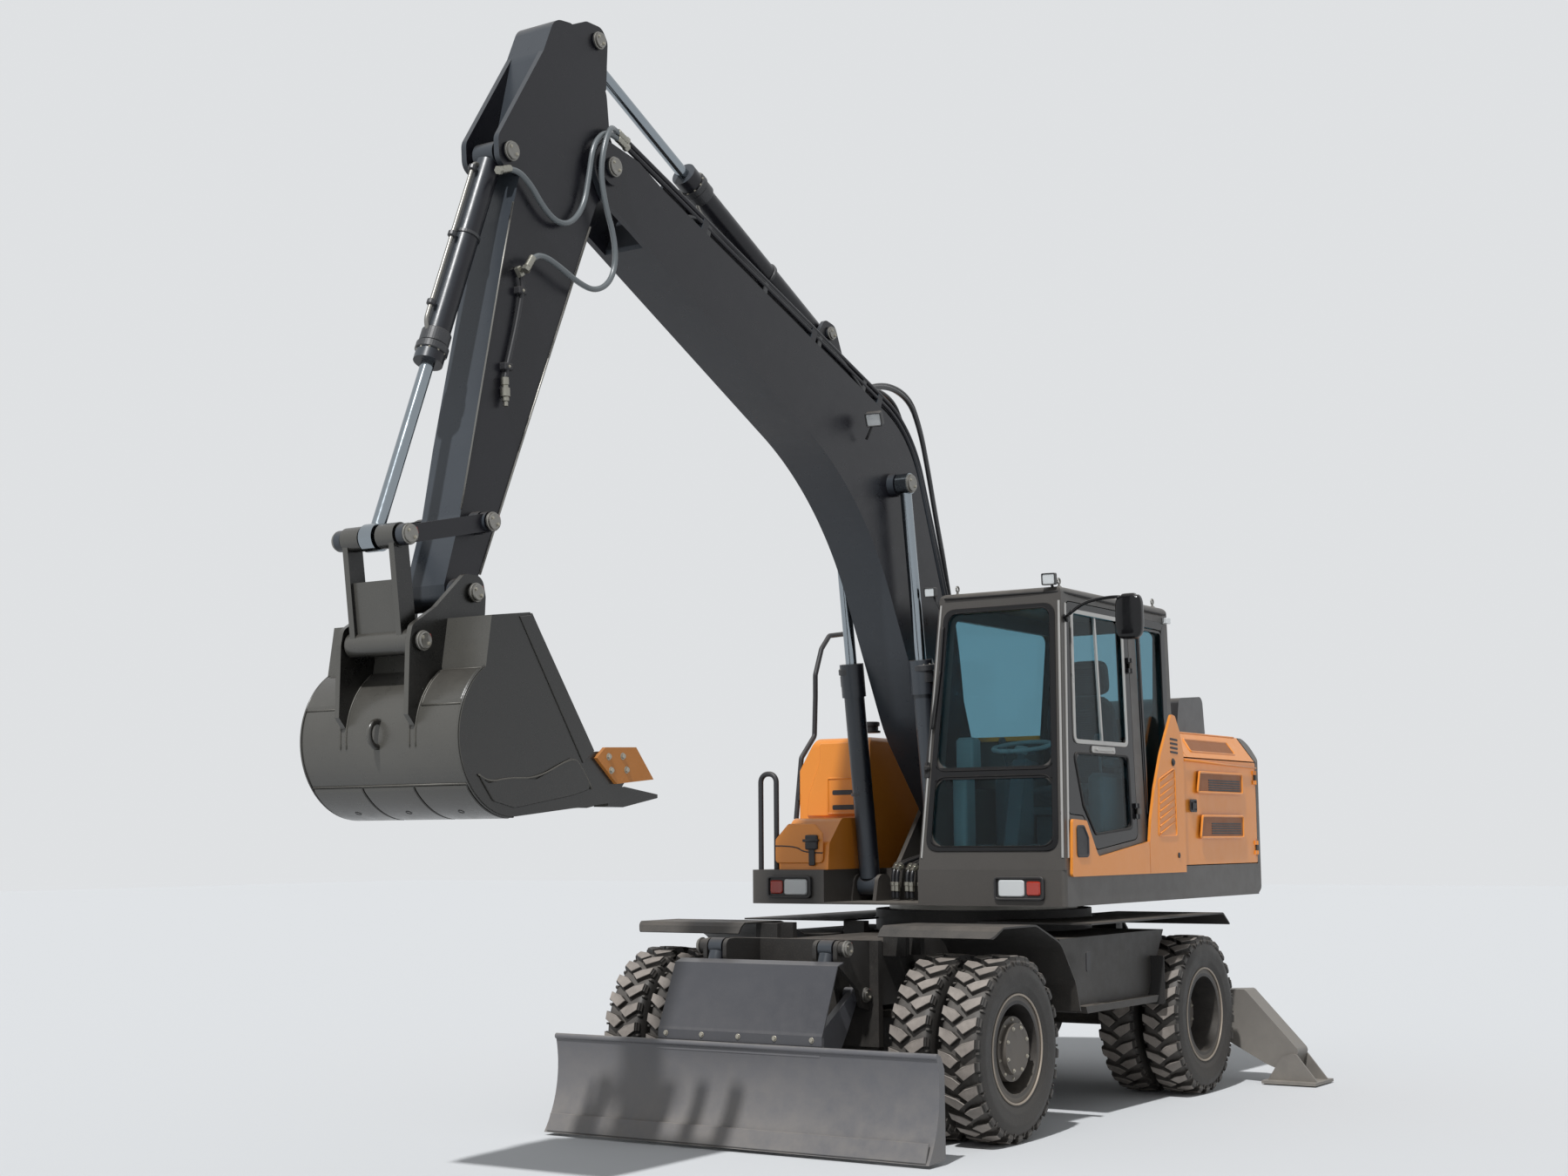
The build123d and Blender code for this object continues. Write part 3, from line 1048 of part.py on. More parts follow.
def tank():
    """Fuel tank right of the boom with a sloped front and a chamfered outer edge."""
    z0 = DECK_TOP_Z + SEAT_GAP
    outline = [(TANK_FRONT_X, z0), (TANK_FRONT_X - 10, TANK_TOP_Z, 60), (TANK_REAR_X, TANK_TOP_Z, 30),
               (TANK_REAR_X, z0)]
    section = [(-DECK_HALF_Y, z0), (-DECK_HALF_Y, TANK_TOP_Z - 210, 20), (-HOOD_SHOULDER_Y, TANK_TOP_Z, 30),
               (TANK_INNER_Y, TANK_TOP_Z, 30), (TANK_INNER_Y, z0)]
    body = side_plate(outline, -DECK_HALF_Y, TANK_INNER_Y) & cross_plate(section, TANK_REAR_X, TANK_FRONT_X)
    return body + rod((-1700, -800, TANK_TOP_Z - 1), (-1700, -800, TANK_TOP_Z + 45), 55)


def toolbox():
    """Low box in front of the tank with a sloped nose, and the two steps beside it."""
    z0 = DECK_TOP_Z + SEAT_GAP
    top = TOOLBOX_TOP_Z
    outline = [(TOOLBOX_FRONT_X, z0), (TOOLBOX_FRONT_X - 20, top - 160, 60), (TOOLBOX_FRONT_X - 170, top, 80),
               (TANK_FRONT_X + SEAT_GAP, top), (TANK_FRONT_X + SEAT_GAP, z0)]
    body = side_plate(outline, TOOLBOX_OUTER_Y, TANK_INNER_Y)
    step = [(TOOLBOX_FRONT_X - 200, z0), (TOOLBOX_FRONT_X - 200, z0 + 180, 15), (TANK_FRONT_X + SEAT_GAP, z0 + 180),
            (TANK_FRONT_X + SEAT_GAP, z0)]
    return [body, side_plate(step, -DECK_HALF_Y + 20, TOOLBOX_OUTER_Y - SEAT_GAP)]


def pipe(points, radius, bend):
    """Tube of straight runs with one bend radius; bend may also be a list, one radius per corner."""
    path = FilletPolyline(*points, radius=bend)
    return sweep(Plane(origin=path @ 0, z_dir=path % 0) * Circle(radius), path=path)


def handrails():
    """Loop at the front step, and the tall rail beside the tank."""
    z = DECK_TOP_Z
    front = pipe([(-950, -1085, z + SEAT_GAP), (-950, -1085, 2061), (-950, -965, 2061), (-950, -965, z + SEAT_GAP)],
                 RAIL_RADIUS, 55)
    y = -DECK_HALF_Y - RAIL_RADIUS - 8
    tall = pipe([
        (-1446, y, 1776), (-1515, y, 2184), (-1681, y, 2337), (-1697, y, 2604), (-1699, y, 2753), (-1780, y, 2938),
        (-1883, y, 3036), (-2066, y, 3062),
    ], RAIL_RADIUS, 45)
    for x, z0 in ((-1470, 1900), (-1490, 2030)):
        tall += box(x - 20, x + 20, y, -DECK_HALF_Y - SEAT_GAP, z0, z0 + 40)
    return [front, tall]


def engine_block():
    z = DECK_TOP_Z + SEAT_GAP
    body = box(-2850, -3350, -450, 550, z, 2150)
    return body


def engine_hood():
    """Lid over the engine with the air intake hump; it opens about its front edge."""
    body = cross_plate(hood_shell(), HOOD_REAR_X, HOOD_FRONT_X)
    top = HOOD_TOP_Z - 1
    hump = [(-3310, top), (-3370, HOOD_TOP_Z + 265, 50), (-3790, HOOD_TOP_Z + 295, 60), (-3830, top)]
    body += side_plate(hump, 200, 800)
    half = HINGE_KNUCKLE / 2 + 2
    for y in HOOD_HINGES_Y:
        body -= box(HOOD_HINGE[0] - 20, HOOD_FRONT_X + 1, y - half, y + half, HOOD_TOP_Z - HOOD_SHEET - 1,
                    HOOD_TOP_Z + 1)
        body = hang(body, hood_hinge_place(y), DOOR_LEAF, HINGE_LEAF)
    return body


def side_door():
    """Left side door of the engine bay, hinged at its rear edge."""
    low = DECK_TOP_Z + PANEL_GAP
    outline = [(SIDE_DOOR_FRONT_X, low, 15), (SIDE_DOOR_FRONT_X, SIDE_DOOR_TOP_Z, 15),
               (SIDE_DOOR_REAR_X, SIDE_DOOR_TOP_Z, 15), (SIDE_DOOR_REAR_X, low, 15)]
    inner = DECK_HALF_Y - PANEL_SHEET
    body = side_plate(outline, inner, DECK_HALF_Y)
    hinge_x, hinge_y = SIDE_HINGE
    half = HINGE_KNUCKLE / 2 + 2
    for z in SIDE_HINGES_Z:
        body -= box(SIDE_DOOR_REAR_X - 1, hinge_x + 20, inner - 1, DECK_HALF_Y + 1, z - half, z + half)
        body = hang(body, Plane((hinge_x, hinge_y, z), x_dir=(1, 0, 0), z_dir=(0, 0, 1)), DOOR_LEAF, HINGE_LEAF)
    return body


def head_lamps():
    """Lamp housings on the front edge of the deck."""
    x = DECK_FRONT_X + SEAT_GAP
    right = box(x, x + 22, -1024, -629, 1265, 1400)
    left = box(x, x + 22, 595, 972, 1265, 1400)
    return [right, left]


def mirrors():
    """Mirror on an arm from the front left pillar."""
    z = 2900
    front = cab_front(z) + SEAT_GAP
    arm = pipe([(front - 20, cab_left(z) - 70, z + 60), (MIRROR_X, cab_left(z) + 40, z + 60), (MIRROR_X, 1520, z + 60)],
               12, 40)
    arm -= cab_block(-SEAT_GAP, CAB_BOTTOM_Z, CAB_TOP_Z)
    return arm + box(MIRROR_X - 30, MIRROR_X + 30, 1440, 1610, 2800, 3060)


# ---------- boom ----------
def link_bar(a, b, half, y0, y1):
    """Flat bar with round ends between two pins."""
    length = hypot(b[0] - a[0], b[1] - a[1])
    nx = -(b[1] - a[1]) / length * half
    nz = (b[0] - a[0]) / length * half
    corners = [(a[0] + nx, a[1] + nz), (b[0] + nx, b[1] + nz), (b[0] - nx, b[1] - nz), (a[0] - nx, a[1] - nz)]
    return side_plate(corners, y0, y1) + cross_pin(a, y0, y1, half) + cross_pin(b, y0, y1, half)


def boom():
    outline = [
        (-2085, 1880), (-1153, 4204, 700), (1466, 5136, 300), (1700, 5240, 60), (2000, 5290, 120),
        (2110, 5140, 130), (1990, 4960, 120), (1740, 4850, 100), (-567, 3754, 2060), (-1339, 2309, 900),
        (-1870, 1730),
    ]
    body = side_plate(outline, BOOM_Y - BOOM_HALF_Y, BOOM_Y + BOOM_HALF_Y)
    body += cross_pin(BOOM_FOOT, BOOM_Y - BOOM_HALF_Y, BOOM_Y + BOOM_HALF_Y, BOOM_FOOT_RADIUS)
    fork = ARM_HALF_Y + 5
    body -= side_plate([(1450, 5500), (1450, 5120), (1620, 4820), (1620, 4500), (2500, 4500), (2500, 5500)],
                       BOOM_Y - fork, BOOM_Y + fork)
    body += cross_pin(BOOM_TIP, BOOM_Y - BOOM_HALF_Y - 30, BOOM_Y + BOOM_HALF_Y + 30, 50)
    for side in (-1, 1):
        body += cross_pin(BOOM_TIP, BOOM_Y + side * fork, BOOM_Y + side * (BOOM_HALF_Y + 18), 95)
    body -= cross_pin(BOOM_FOOT, BOOM_Y - BOOM_HALF_Y - 1, BOOM_Y + BOOM_HALF_Y + 1, 45 + PIN_GAP)
    boss = BOOM_CYLINDER_Y - CYLINDER_EYE_HALF - 6
    body += cross_pin(BOOM_CYLINDER_EYE, BOOM_Y - boss, BOOM_Y + boss, 75)
    (kx, kz) = ARM_CYLINDER_FOOT
    lug = [(kx - 240, kz - 300), (kx - 66, kz + 60, 60), (kx + 50, kz + 80, 50), (kx + 220, kz - 136)]
    gap = ARM_CYLINDER_RADIUS + SIDE_GAP
    for y in (BOOM_Y - gap - PLATE, BOOM_Y + gap):
        body += side_plate(lug, y, y + PLATE)
    body += cross_pin(ARM_CYLINDER_FOOT, BOOM_Y - gap - PLATE - 12, BOOM_Y + gap + PLATE + 12, PIN_RADIUS)
    return body


def boom_pipes():
    """Steel pipes along the top of the boom with their clamps."""
    pieces = []
    (fx, fz), (tx, tz), (rx, rz) = PIPE_FRONT, PIPE_TOP, PIPE_REAR
    slope = (fz - tz) / (fx - tx)
    for offset, lift, end_x in PIPE_ROWS:
        y = BOOM_Y + offset
        end_z = fz + slope * (end_x - fx) + lift
        pieces.append(pipe([(end_x, y, end_z), (tx - lift / 2, y, tz + lift), (rx - lift, y, rz)], PIPE_RADIUS,
                           PIPE_BEND))
    clamps = ((1099, 5005.5, 0.335, 0.942), (-19, 4607.6, 0.335, 0.942), (-780, 4336.8, 0.335, 0.942))
    for x, z, nx, nz in clamps:
        corners = [(x + nz * a - nx * b, z + nx * a + nz * b)
                   for a, b in ((-25, SEAT_GAP), (25, SEAT_GAP), (25, 70), (-25, 70))]
        for side in (-1, 1):
            y = BOOM_Y + side * CLAMP_OFFSET
            pieces.append(side_plate(corners, y - CLAMP_HALF, y + CLAMP_HALF))
    return fused(pieces)


def hose(name, route):
    """Free hose from the boom's pipes to the arm: straight runs joined by the widest arcs that fit."""
    points = [Vector(x, BOOM_Y + offset, z) for x, offset, z in route]
    runs = [after - before for before, after in zip(points, points[1:])]
    radii = []
    for before, after in zip(runs, runs[1:]):
        turn = radians(before.get_angle(after))
        radii.append(0.45 * min(before.length, after.length) / tan(turn / 2))
    print(name, "radii", [round(radius) for radius in radii])
    return pipe([tuple(point) for point in points], HOSE_RADIUS, radii)


def fused(pieces):
    """One shape from several that touch."""
    body = pieces[0]
    for piece in pieces[1:]:
        body += piece
    return body


# ---------- arm ----------
def arm():
    outline = [
        (2210, 5850, 60), (1930, 5570, 120), (1900, 5330, 80), (1815, 5190, 60), (1850, 5020, 80), (2003, 4955, 120),
        (2860, 2983), (2915, 2860), (2975, 2725, 60), (3125, 2725, 60), (3135, 2830), (3029, 3172), (2961, 3516),
        (2691, 4690), (2596, 5027), (2453, 5613, 200), (2360, 5830, 100),
    ]
    y0 = BOOM_Y - ARM_HALF_Y
    y1 = BOOM_Y + ARM_HALF_Y
    body = side_plate(outline, y0, y1)
    body += cross_pin(BUCKET_PIN, BOOM_Y - 190, BOOM_Y + 190, 75)
    (fx, fz), (gx, gz) = ARM_CYLINDER_EYE, BUCKET_CYLINDER_FOOT
    ear = [(1932, 5575), (fx - 90, fz + 20, 60), (fx - 40, fz + 85, 60), (fx + 90, fz + 80, 60), (2215, 5845),
           (2215, 5700)]
    bracket = [(2440, 5640), (gx + 85, gz + 60, 70), (gx + 75, gz - 80, 70), (2605, 4930), (2560, 5000)]
    for y in (y0, y1 - EAR_PLATE):
        body += side_plate(ear, y, y + EAR_PLATE)
        body += side_plate(bracket, y, y + EAR_PLATE)
    body += cross_pin(BUCKET_CYLINDER_FOOT, y0 - 12, y1 + 12, PIN_RADIUS)
    for y in (y0 - 12, y1 - EAR_PLATE):
        body += cross_pin(ARM_CYLINDER_EYE, y, y + EAR_PLATE + 12, PIN_RADIUS)
    body += cross_pin(GUIDE_PIN, BOOM_Y - 235, BOOM_Y + 235, GUIDE_PIN_RADIUS)
    body += cross_pin(GUIDE_PIN, BOOM_Y - 178, BOOM_Y + 178, 55)
    seat = (fx + ARM_EYE_SEAT[0], fz + ARM_EYE_SEAT[1])
    body -= cross_pin(seat, y0 + EAR_PLATE, y1 - EAR_PLATE, EYE_RADIUS + 2 * SIDE_GAP)
    body -= cross_pin(BOOM_TIP, y0 - 1, y1 + 1, 50 + PIN_GAP)
    body -= cross_pin(BUCKET_PIN, BOOM_Y - 191, BOOM_Y + 191, PIN_RADIUS + PIN_GAP)
    return body


def guide_links():
    """Pair of bars from the arm to the rod's eye."""
    y = BOOM_Y + GUIDE_LINK_INNER_Y
    bar = link_bar(GUIDE_PIN, LINK_PIN, GUIDE_LINK_HALF_DEPTH, y, y + GUIDE_LINK_PLATE)
    bar += cross_pin(LINK_PIN, BOOM_Y + 175, y + GUIDE_LINK_PLATE + 5, 50)
    bar += cross_pin(GUIDE_PIN, y, y + GUIDE_LINK_PLATE + 15, 50)
    bar -= cross_pin(GUIDE_PIN, y - 1, y + GUIDE_LINK_PLATE + 30, GUIDE_PIN_RADIUS + PIN_GAP)
    return [bar, boom_mirrored(bar)]


def bucket_link():
    """H-shaped link between the bucket and the rod's eye."""
    (ax, az), (cx, cz) = LINK_PIN, BUCKET_LINK_PIN
    body = cross_pin(BUCKET_LINK_PIN, BOOM_Y - 190, BOOM_Y + 190, LINK_TUBE_RADIUS)
    for side in (-1, 1):
        body += cross_pin(LINK_PIN, BOOM_Y + side * 55, BOOM_Y + side * 165, 58)
        y0, y1 = sorted((BOOM_Y + side * 128, BOOM_Y + side * 160))
        body += side_plate([(ax - 50, az - 10), (ax + 50, az + 10), (cx + 52, cz + 10), (cx - 52, cz - 10)], y0, y1)
    lean = (ax - cx) / (az - cz)
    web = [(cx + lean * (z - cz) + dx, z) for z, dx in ((cz + 30, -30), (az - 200, -30), (az - 200, 30), (cz + 30, 30))]
    body += side_plate(web, BOOM_Y - 131, BOOM_Y + 131)
    body -= cross_pin(BUCKET_LINK_PIN, BOOM_Y - 191, BOOM_Y + 191, PIN_RADIUS + PIN_GAP)
    return body


# ---------- bucket ----------
def bucket_outline(inset):
    """Closed face of the bucket seen from the side, drawn in by the shell's thickness."""
    cx, cz = BUCKET_BACK_CENTRE
    r = BUCKET_BACK_RADIUS - inset
    y = BOOM_Y - BUCKET_HALF_Y + (BUCKET_SIDE if inset else 0)
    top = (cx + r * cos(radians(58)), cz + r * sin(radians(58)))
    low = (cx + r * cos(radians(-93)), cz + r * sin(radians(-93)))
    tx, tz = BUCKET_MOUTH_TOP
    rx, rz = BUCKET_TOP_REAR
    lx, lz = BUCKET_LIP
    reach = 60 if inset else 0
    start = (tx - reach, y, tz - inset + reach * 0.12)
    lip = (lx - reach, y, lz + inset + reach * 0.1)
    chain = Polyline((low[0], y, low[1]), lip, start, (rx - inset, y, rz - inset), (top[0], y, top[1]))
    arc = ThreePointArc((top[0], y, top[1]), (cx + r, y, cz), (low[0], y, low[1]))
    return make_face([chain, arc])


def bucket():
    """Shell with side plates, lip, teeth and the pair of ears."""
    body = extrude(bucket_outline(0), 2 * BUCKET_HALF_Y, dir=(0, 1, 0))
    lx, lz = BUCKET_LIP
    tip_x, tip_z = BUCKET_TEETH_TIP
    lip = [(lx + 170, lz - 17), (lx + 170, lz + 20), (lx - 20, lz + 44), (lx - 60, lz + 10)]
    body += side_plate(lip, BOOM_Y - BUCKET_HALF_Y, BOOM_Y + BUCKET_HALF_Y)
    pin_x, pin_z = BUCKET_PIN
    ear = [
        (3471, 2538, 60), (3476, 2206), (3380, 2100), (3240, 2420), (3200, 2630), (2970, 2680),
        (pin_x - 85, pin_z - 10, 60), (pin_x - 60, pin_z + 85, 60), (pin_x + 60, pin_z + 85, 40), (3304, 2702, 60),
        (3456, 2610, 50),
    ]
    ear_y = BUCKET_EAR_INNER_Y
    for start in (BOOM_Y - ear_y - BUCKET_EAR_PLATE, BOOM_Y + ear_y):
        body += side_plate(ear, start, start + BUCKET_EAR_PLATE)
    inner = extrude(bucket_outline(BUCKET_SHELL), 2 * (BUCKET_HALF_Y - BUCKET_SIDE), dir=(0, 1, 0))
    body -= inner
    outer_y = ear_y + BUCKET_EAR_PLATE + 14
    body += cross_pin(BUCKET_PIN, BOOM_Y - outer_y, BOOM_Y + outer_y, PIN_RADIUS)
    body += cross_pin(BUCKET_LINK_PIN, BOOM_Y - outer_y, BOOM_Y + outer_y, PIN_RADIUS)
    tooth = [(lx + 40, lz - 20), (lx + 10, lz + 62), (lx - 90, lz + 78), (tip_x, tip_z + 8), (tip_x, tip_z - 10),
             (lx - 80, lz - 22)]
    span = BUCKET_HALF_Y - 50
    for step in range(TEETH):
        y = BOOM_Y - span + 2 * span * step / (TEETH - 1)
        body += side_plate(tooth, y - 42, y + 42)
    nose = [(2520, 2060), (2260, 2075), (2180, 1990), (2333, 1830)]
    for y in (BOOM_Y - BUCKET_HALF_Y, BOOM_Y + BUCKET_HALF_Y - BUCKET_SIDE):
        body += side_plate(nose, y, y + BUCKET_SIDE)
    return body


def side_cutters():
    """Wear plates on the two lower corners of the bucket's mouth."""
    outline = [(2488, 2032), (2421, 2084), (2181, 2092), (2040, 1938), (2333, 1911)]
    y = BOOM_Y + BUCKET_HALF_Y + SEAT_GAP
    left = side_plate(outline, y, y + 20)
    return [left, boom_mirrored(left)]


# ---------- the nodes ----------
def save(name, *pieces):
    """Move the pieces to the shared origin and write them as one node."""
    shapes = [shape for piece in pieces for shape in (piece if isinstance(piece, list) else [piece])]
    solids = [solid for shape in shapes for solid in (Pos(ROW_SHIFT_X, 0, 0) * shape).solids()]
    export_step(Compound(solids), f"parts/{name}.step")
    print(name, len(solids), round(sum(solid.volume for solid in solids) / 1e6, 2))


def front_rim():
    return twin_rim(0, FRONT_HUB_RADIUS, FRONT_HUB_END_Y, FRONT_CAP_RADIUS, FRONT_CAP_END_Y)


def rear_rim():
    return twin_rim(REAR_AXLE_X, REAR_HUB_RADIUS, REAR_HUB_END_Y, REAR_HUB_RADIUS - 20, REAR_HUB_END_Y + 15)


save("chassis_frame", chassis_frame())
save("slew_bearing", slew_bearing())
save("front_axle", front_axle())
save("rear_axle", rear_axle())
save("drive_shafts", drive_shafts())
save("fenders", fenders())
save("step_boxes", step_boxes(), air_tank())
save("knuckle_left", knuckle())
save("knuckle_right", mirrored(knuckle()))
save("tyres_front_left", twin_tyres(0, 1))
save("tyres_front_right", twin_tyres(0, -1))
save("tyres_rear_left", twin_tyres(REAR_AXLE_X, 1))
save("tyres_rear_right", twin_tyres(REAR_AXLE_X, -1))
save("rims_front_left", front_rim())
save("rims_front_right", mirrored(front_rim()))
save("rims_rear_left", rear_rim())
save("rims_rear_right", mirrored(rear_rim()))
save("blade", blade())
save("blade_cover", blade_cover())
BLADE_TUBE = cylinder_barrel(BLADE_CYLINDER_TOP, BLADE_CYLINDER_FOOT, BLADE_LINK_Y, CYLINDERS["blade"])
BLADE_ROD = cylinder_rod(BLADE_CYLINDER_TOP, BLADE_CYLINDER_FOOT, BLADE_LINK_Y, CYLINDERS["blade"])
save("blade_cylinder_barrels", BLADE_TUBE, mirrored(BLADE_TUBE))
save("blade_cylinder_rods", BLADE_ROD, mirrored(BLADE_ROD))
LEG_TUBE = across(cylinder_barrel(OUTRIGGER_CYLINDER_TOP, OUTRIGGER_LUG, 0, CYLINDERS["outrigger"]))
LEG_ROD = across(cylinder_rod(OUTRIGGER_CYLINDER_TOP, OUTRIGGER_LUG, 0, CYLINDERS["outrigger"]))
save("outrigger_left", outrigger())
save("outrigger_right", mirrored(outrigger()))
save("outrigger_barrel_left", LEG_TUBE)
save("outrigger_barrel_right", mirrored(LEG_TUBE))
save("outrigger_rod_left", LEG_ROD)
save("outrigger_rod_right", mirrored(LEG_ROD))
save("revolving_frame", revolving_frame())
save("counterweight", counterweight())
save("cab_shell", cab_shell())
save("cab_glass", cab_glass())
save("cab_interior", cab_interior())
save("cab_door", cab_door())
save("cab_door_glass", cab_door_glass())
save("side_panels", side_panels())
save("tank", tank())
save("toolbox", toolbox())
save("handrails", handrails())
save("engine_block", engine_block())
save("engine_hood", engine_hood())
save("side_door_left", side_door())
save("side_door_right", mirrored(side_door()))
save("head_lamps", head_lamps())
save("mirrors", mirrors())
save("boom", boom())
save("boom_pipes", boom_pipes())
save("upper_hose", hose("upper_hose", UPPER_HOSE))
save("lower_hose", hose("lower_hose", LOWER_HOSE))
BOOM_TUBE = cylinder_barrel(BOOM_CYLINDER_FOOT, BOOM_CYLINDER_EYE, BOOM_Y + BOOM_CYLINDER_Y, CYLINDERS["boom"])
BOOM_ROD = cylinder_rod(BOOM_CYLINDER_FOOT, BOOM_CYLINDER_EYE, BOOM_Y + BOOM_CYLINDER_Y, CYLINDERS["boom"])
save("boom_cylinder_barrels", BOOM_TUBE, boom_mirrored(BOOM_TUBE))
save("boom_cylinder_rods", BOOM_ROD, boom_mirrored(BOOM_ROD))
save("arm", arm())
save("arm_cylinder_barrel", cylinder_barrel(ARM_CYLINDER_FOOT, ARM_CYLINDER_EYE, BOOM_Y, CYLINDERS["arm"]))
save("arm_cylinder_rod", cylinder_rod(ARM_CYLINDER_FOOT, ARM_CYLINDER_EYE, BOOM_Y, CYLINDERS["arm"]))
save("bucket_cylinder_barrel", cylinder_barrel(BUCKET_CYLINDER_FOOT, LINK_PIN, BOOM_Y, CYLINDERS["bucket"]))
save("bucket_cylinder_rod", cylinder_rod(BUCKET_CYLINDER_FOOT, LINK_PIN, BOOM_Y, CYLINDERS["bucket"]))
save("guide_links", guide_links())
save("bucket_link", bucket_link())
save("bucket", bucket())
save("side_cutters", side_cutters())
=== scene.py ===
import bpy
import bmesh
import math
from mathutils import Matrix, Vector


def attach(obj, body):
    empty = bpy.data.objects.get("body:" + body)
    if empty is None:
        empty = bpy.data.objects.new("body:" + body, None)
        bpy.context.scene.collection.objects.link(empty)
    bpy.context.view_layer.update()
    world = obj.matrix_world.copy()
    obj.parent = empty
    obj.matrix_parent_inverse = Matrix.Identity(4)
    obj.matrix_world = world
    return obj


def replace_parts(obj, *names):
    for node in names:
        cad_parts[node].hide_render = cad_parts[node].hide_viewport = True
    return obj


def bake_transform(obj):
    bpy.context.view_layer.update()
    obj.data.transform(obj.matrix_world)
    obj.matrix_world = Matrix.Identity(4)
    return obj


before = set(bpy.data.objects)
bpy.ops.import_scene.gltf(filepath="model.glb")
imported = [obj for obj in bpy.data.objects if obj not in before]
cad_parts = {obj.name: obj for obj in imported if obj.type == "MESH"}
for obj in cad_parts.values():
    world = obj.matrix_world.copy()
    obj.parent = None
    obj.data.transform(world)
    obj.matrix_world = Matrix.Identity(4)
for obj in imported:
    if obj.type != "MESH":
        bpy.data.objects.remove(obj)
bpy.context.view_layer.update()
scene = bpy.context.scene

# ---- Camera and light ----
# A long view from the front left, a little above the axle. A high sun from the front and a pale sky light
# the machine, which stands on a plain pale floor.
EYE = Vector((10.7807, 6.5672, 1.6347))
YAW, PITCH, ROLL = (math.radians(v) for v in (213.3453, 6.8366, -0.432))
LENS, SENSOR, FAR = 48.34, 36, 200
SUN_WAY, SUN_ENERGY, SUN_ANGLE = Vector((-0.56, -0.12, -0.80)), 3.1, 0.035
SKY_COLOUR, SKY_LIGHT, SKY_SEEN = (0.74, 0.755, 0.77, 1), 0.5, 1.0
FLOOR_COLOUR, FLOOR_HALF = (0.62, 0.635, 0.65, 1), 60


def add_object(name, data):
    """A new object in the scene."""
    item = bpy.data.objects.new(name, data)
    scene.collection.objects.link(item)
    return item


def add_node(tree, kind, **settings):
    """A shader or geometry node with its settings."""
    node = tree.nodes.new(kind)
    for key, value in settings.items():
        setattr(node, key, value)
    return node


def feed(tree, target, source):
    """A link into a socket, or a value on it."""
    if isinstance(source, bpy.types.NodeSocket):
        tree.links.new(source, target)
    else:
        target.default_value = source


def result_of(tree, kind, *sources, **settings):
    """First output of a node that is fed in the order of its inputs."""
    node = add_node(tree, kind, **settings)
    for target, source in zip(node.inputs, sources):
        feed(tree, target, source)
    return node.outputs[0]


def maths(tree, operation, first, second):
    return result_of(tree, "ShaderNodeMath", first, second, operation=operation)


def span(tree, value, low, high, to_low=0.0, to_high=1.0):
    """A value stretched from one range to another and clamped."""
    return result_of(tree, "ShaderNodeMapRange", value, low, high, to_low, to_high)


def plain(name, **values):
    """A material with values on its shader's own inputs, and its node tree."""
    material = bpy.data.materials.new(name)
    material.use_nodes = True
    for label, value in values.items():
        shader = material.node_tree.nodes["Principled BSDF"]
        shader.inputs[label.replace("_", " ")].default_value = value
    return material, material.node_tree


ahead = Vector((math.cos(PITCH) * math.cos(YAW), math.cos(PITCH) * math.sin(YAW), math.sin(PITCH)))
right = ahead.cross(Vector((0, 0, 1))).normalized()
up = right.cross(ahead)
right, up = math.cos(ROLL) * right + math.sin(ROLL) * up, math.cos(ROLL) * up - math.sin(ROLL) * right
camera = add_object("camera", bpy.data.cameras.new("camera"))
camera.matrix_world = Matrix((right, up, -ahead)).transposed().to_4x4()
camera.location = EYE
camera.data.lens = LENS
camera.data.sensor_width = SENSOR
camera.data.clip_end = FAR
scene.camera = camera
scene.view_settings.view_transform = "Standard"

# The sky is full strength where the camera, a mirror or glass looks straight at it.
world = bpy.data.worlds.new("studio")
world.use_nodes = True
sky = world.node_tree
backdrop = sky.nodes["Background"].inputs
rays = add_node(sky, "ShaderNodeLightPath").outputs
seen = maths(sky, "MAXIMUM", rays["Is Camera Ray"], rays["Is Glossy Ray"])
seen = maths(sky, "MAXIMUM", seen, rays["Is Transmission Ray"])
backdrop["Color"].default_value = SKY_COLOUR
sky.links.new(span(sky, seen, 0.0, 1.0, SKY_LIGHT, SKY_SEEN), backdrop["Strength"])
scene.world = world
sun = add_object("sun", bpy.data.lights.new("sun", "SUN"))
sun.data.energy = SUN_ENERGY
sun.data.angle = SUN_ANGLE
sun.rotation_euler = SUN_WAY.to_track_quat("-Z", "Y").to_euler()

floor_mesh = bpy.data.meshes.new("floor")
floor_corners = [(x * FLOOR_HALF, y * FLOOR_HALF, 0) for x, y in ((-1, -1), (1, -1), (1, 1), (-1, 1))]
floor_mesh.from_pydata(floor_corners, [], [(0, 1, 2, 3)])
floor_mesh.materials.append(plain("studio floor", Base_Color=FLOOR_COLOUR, Roughness=0.9)[0])
add_object("floor", floor_mesh)

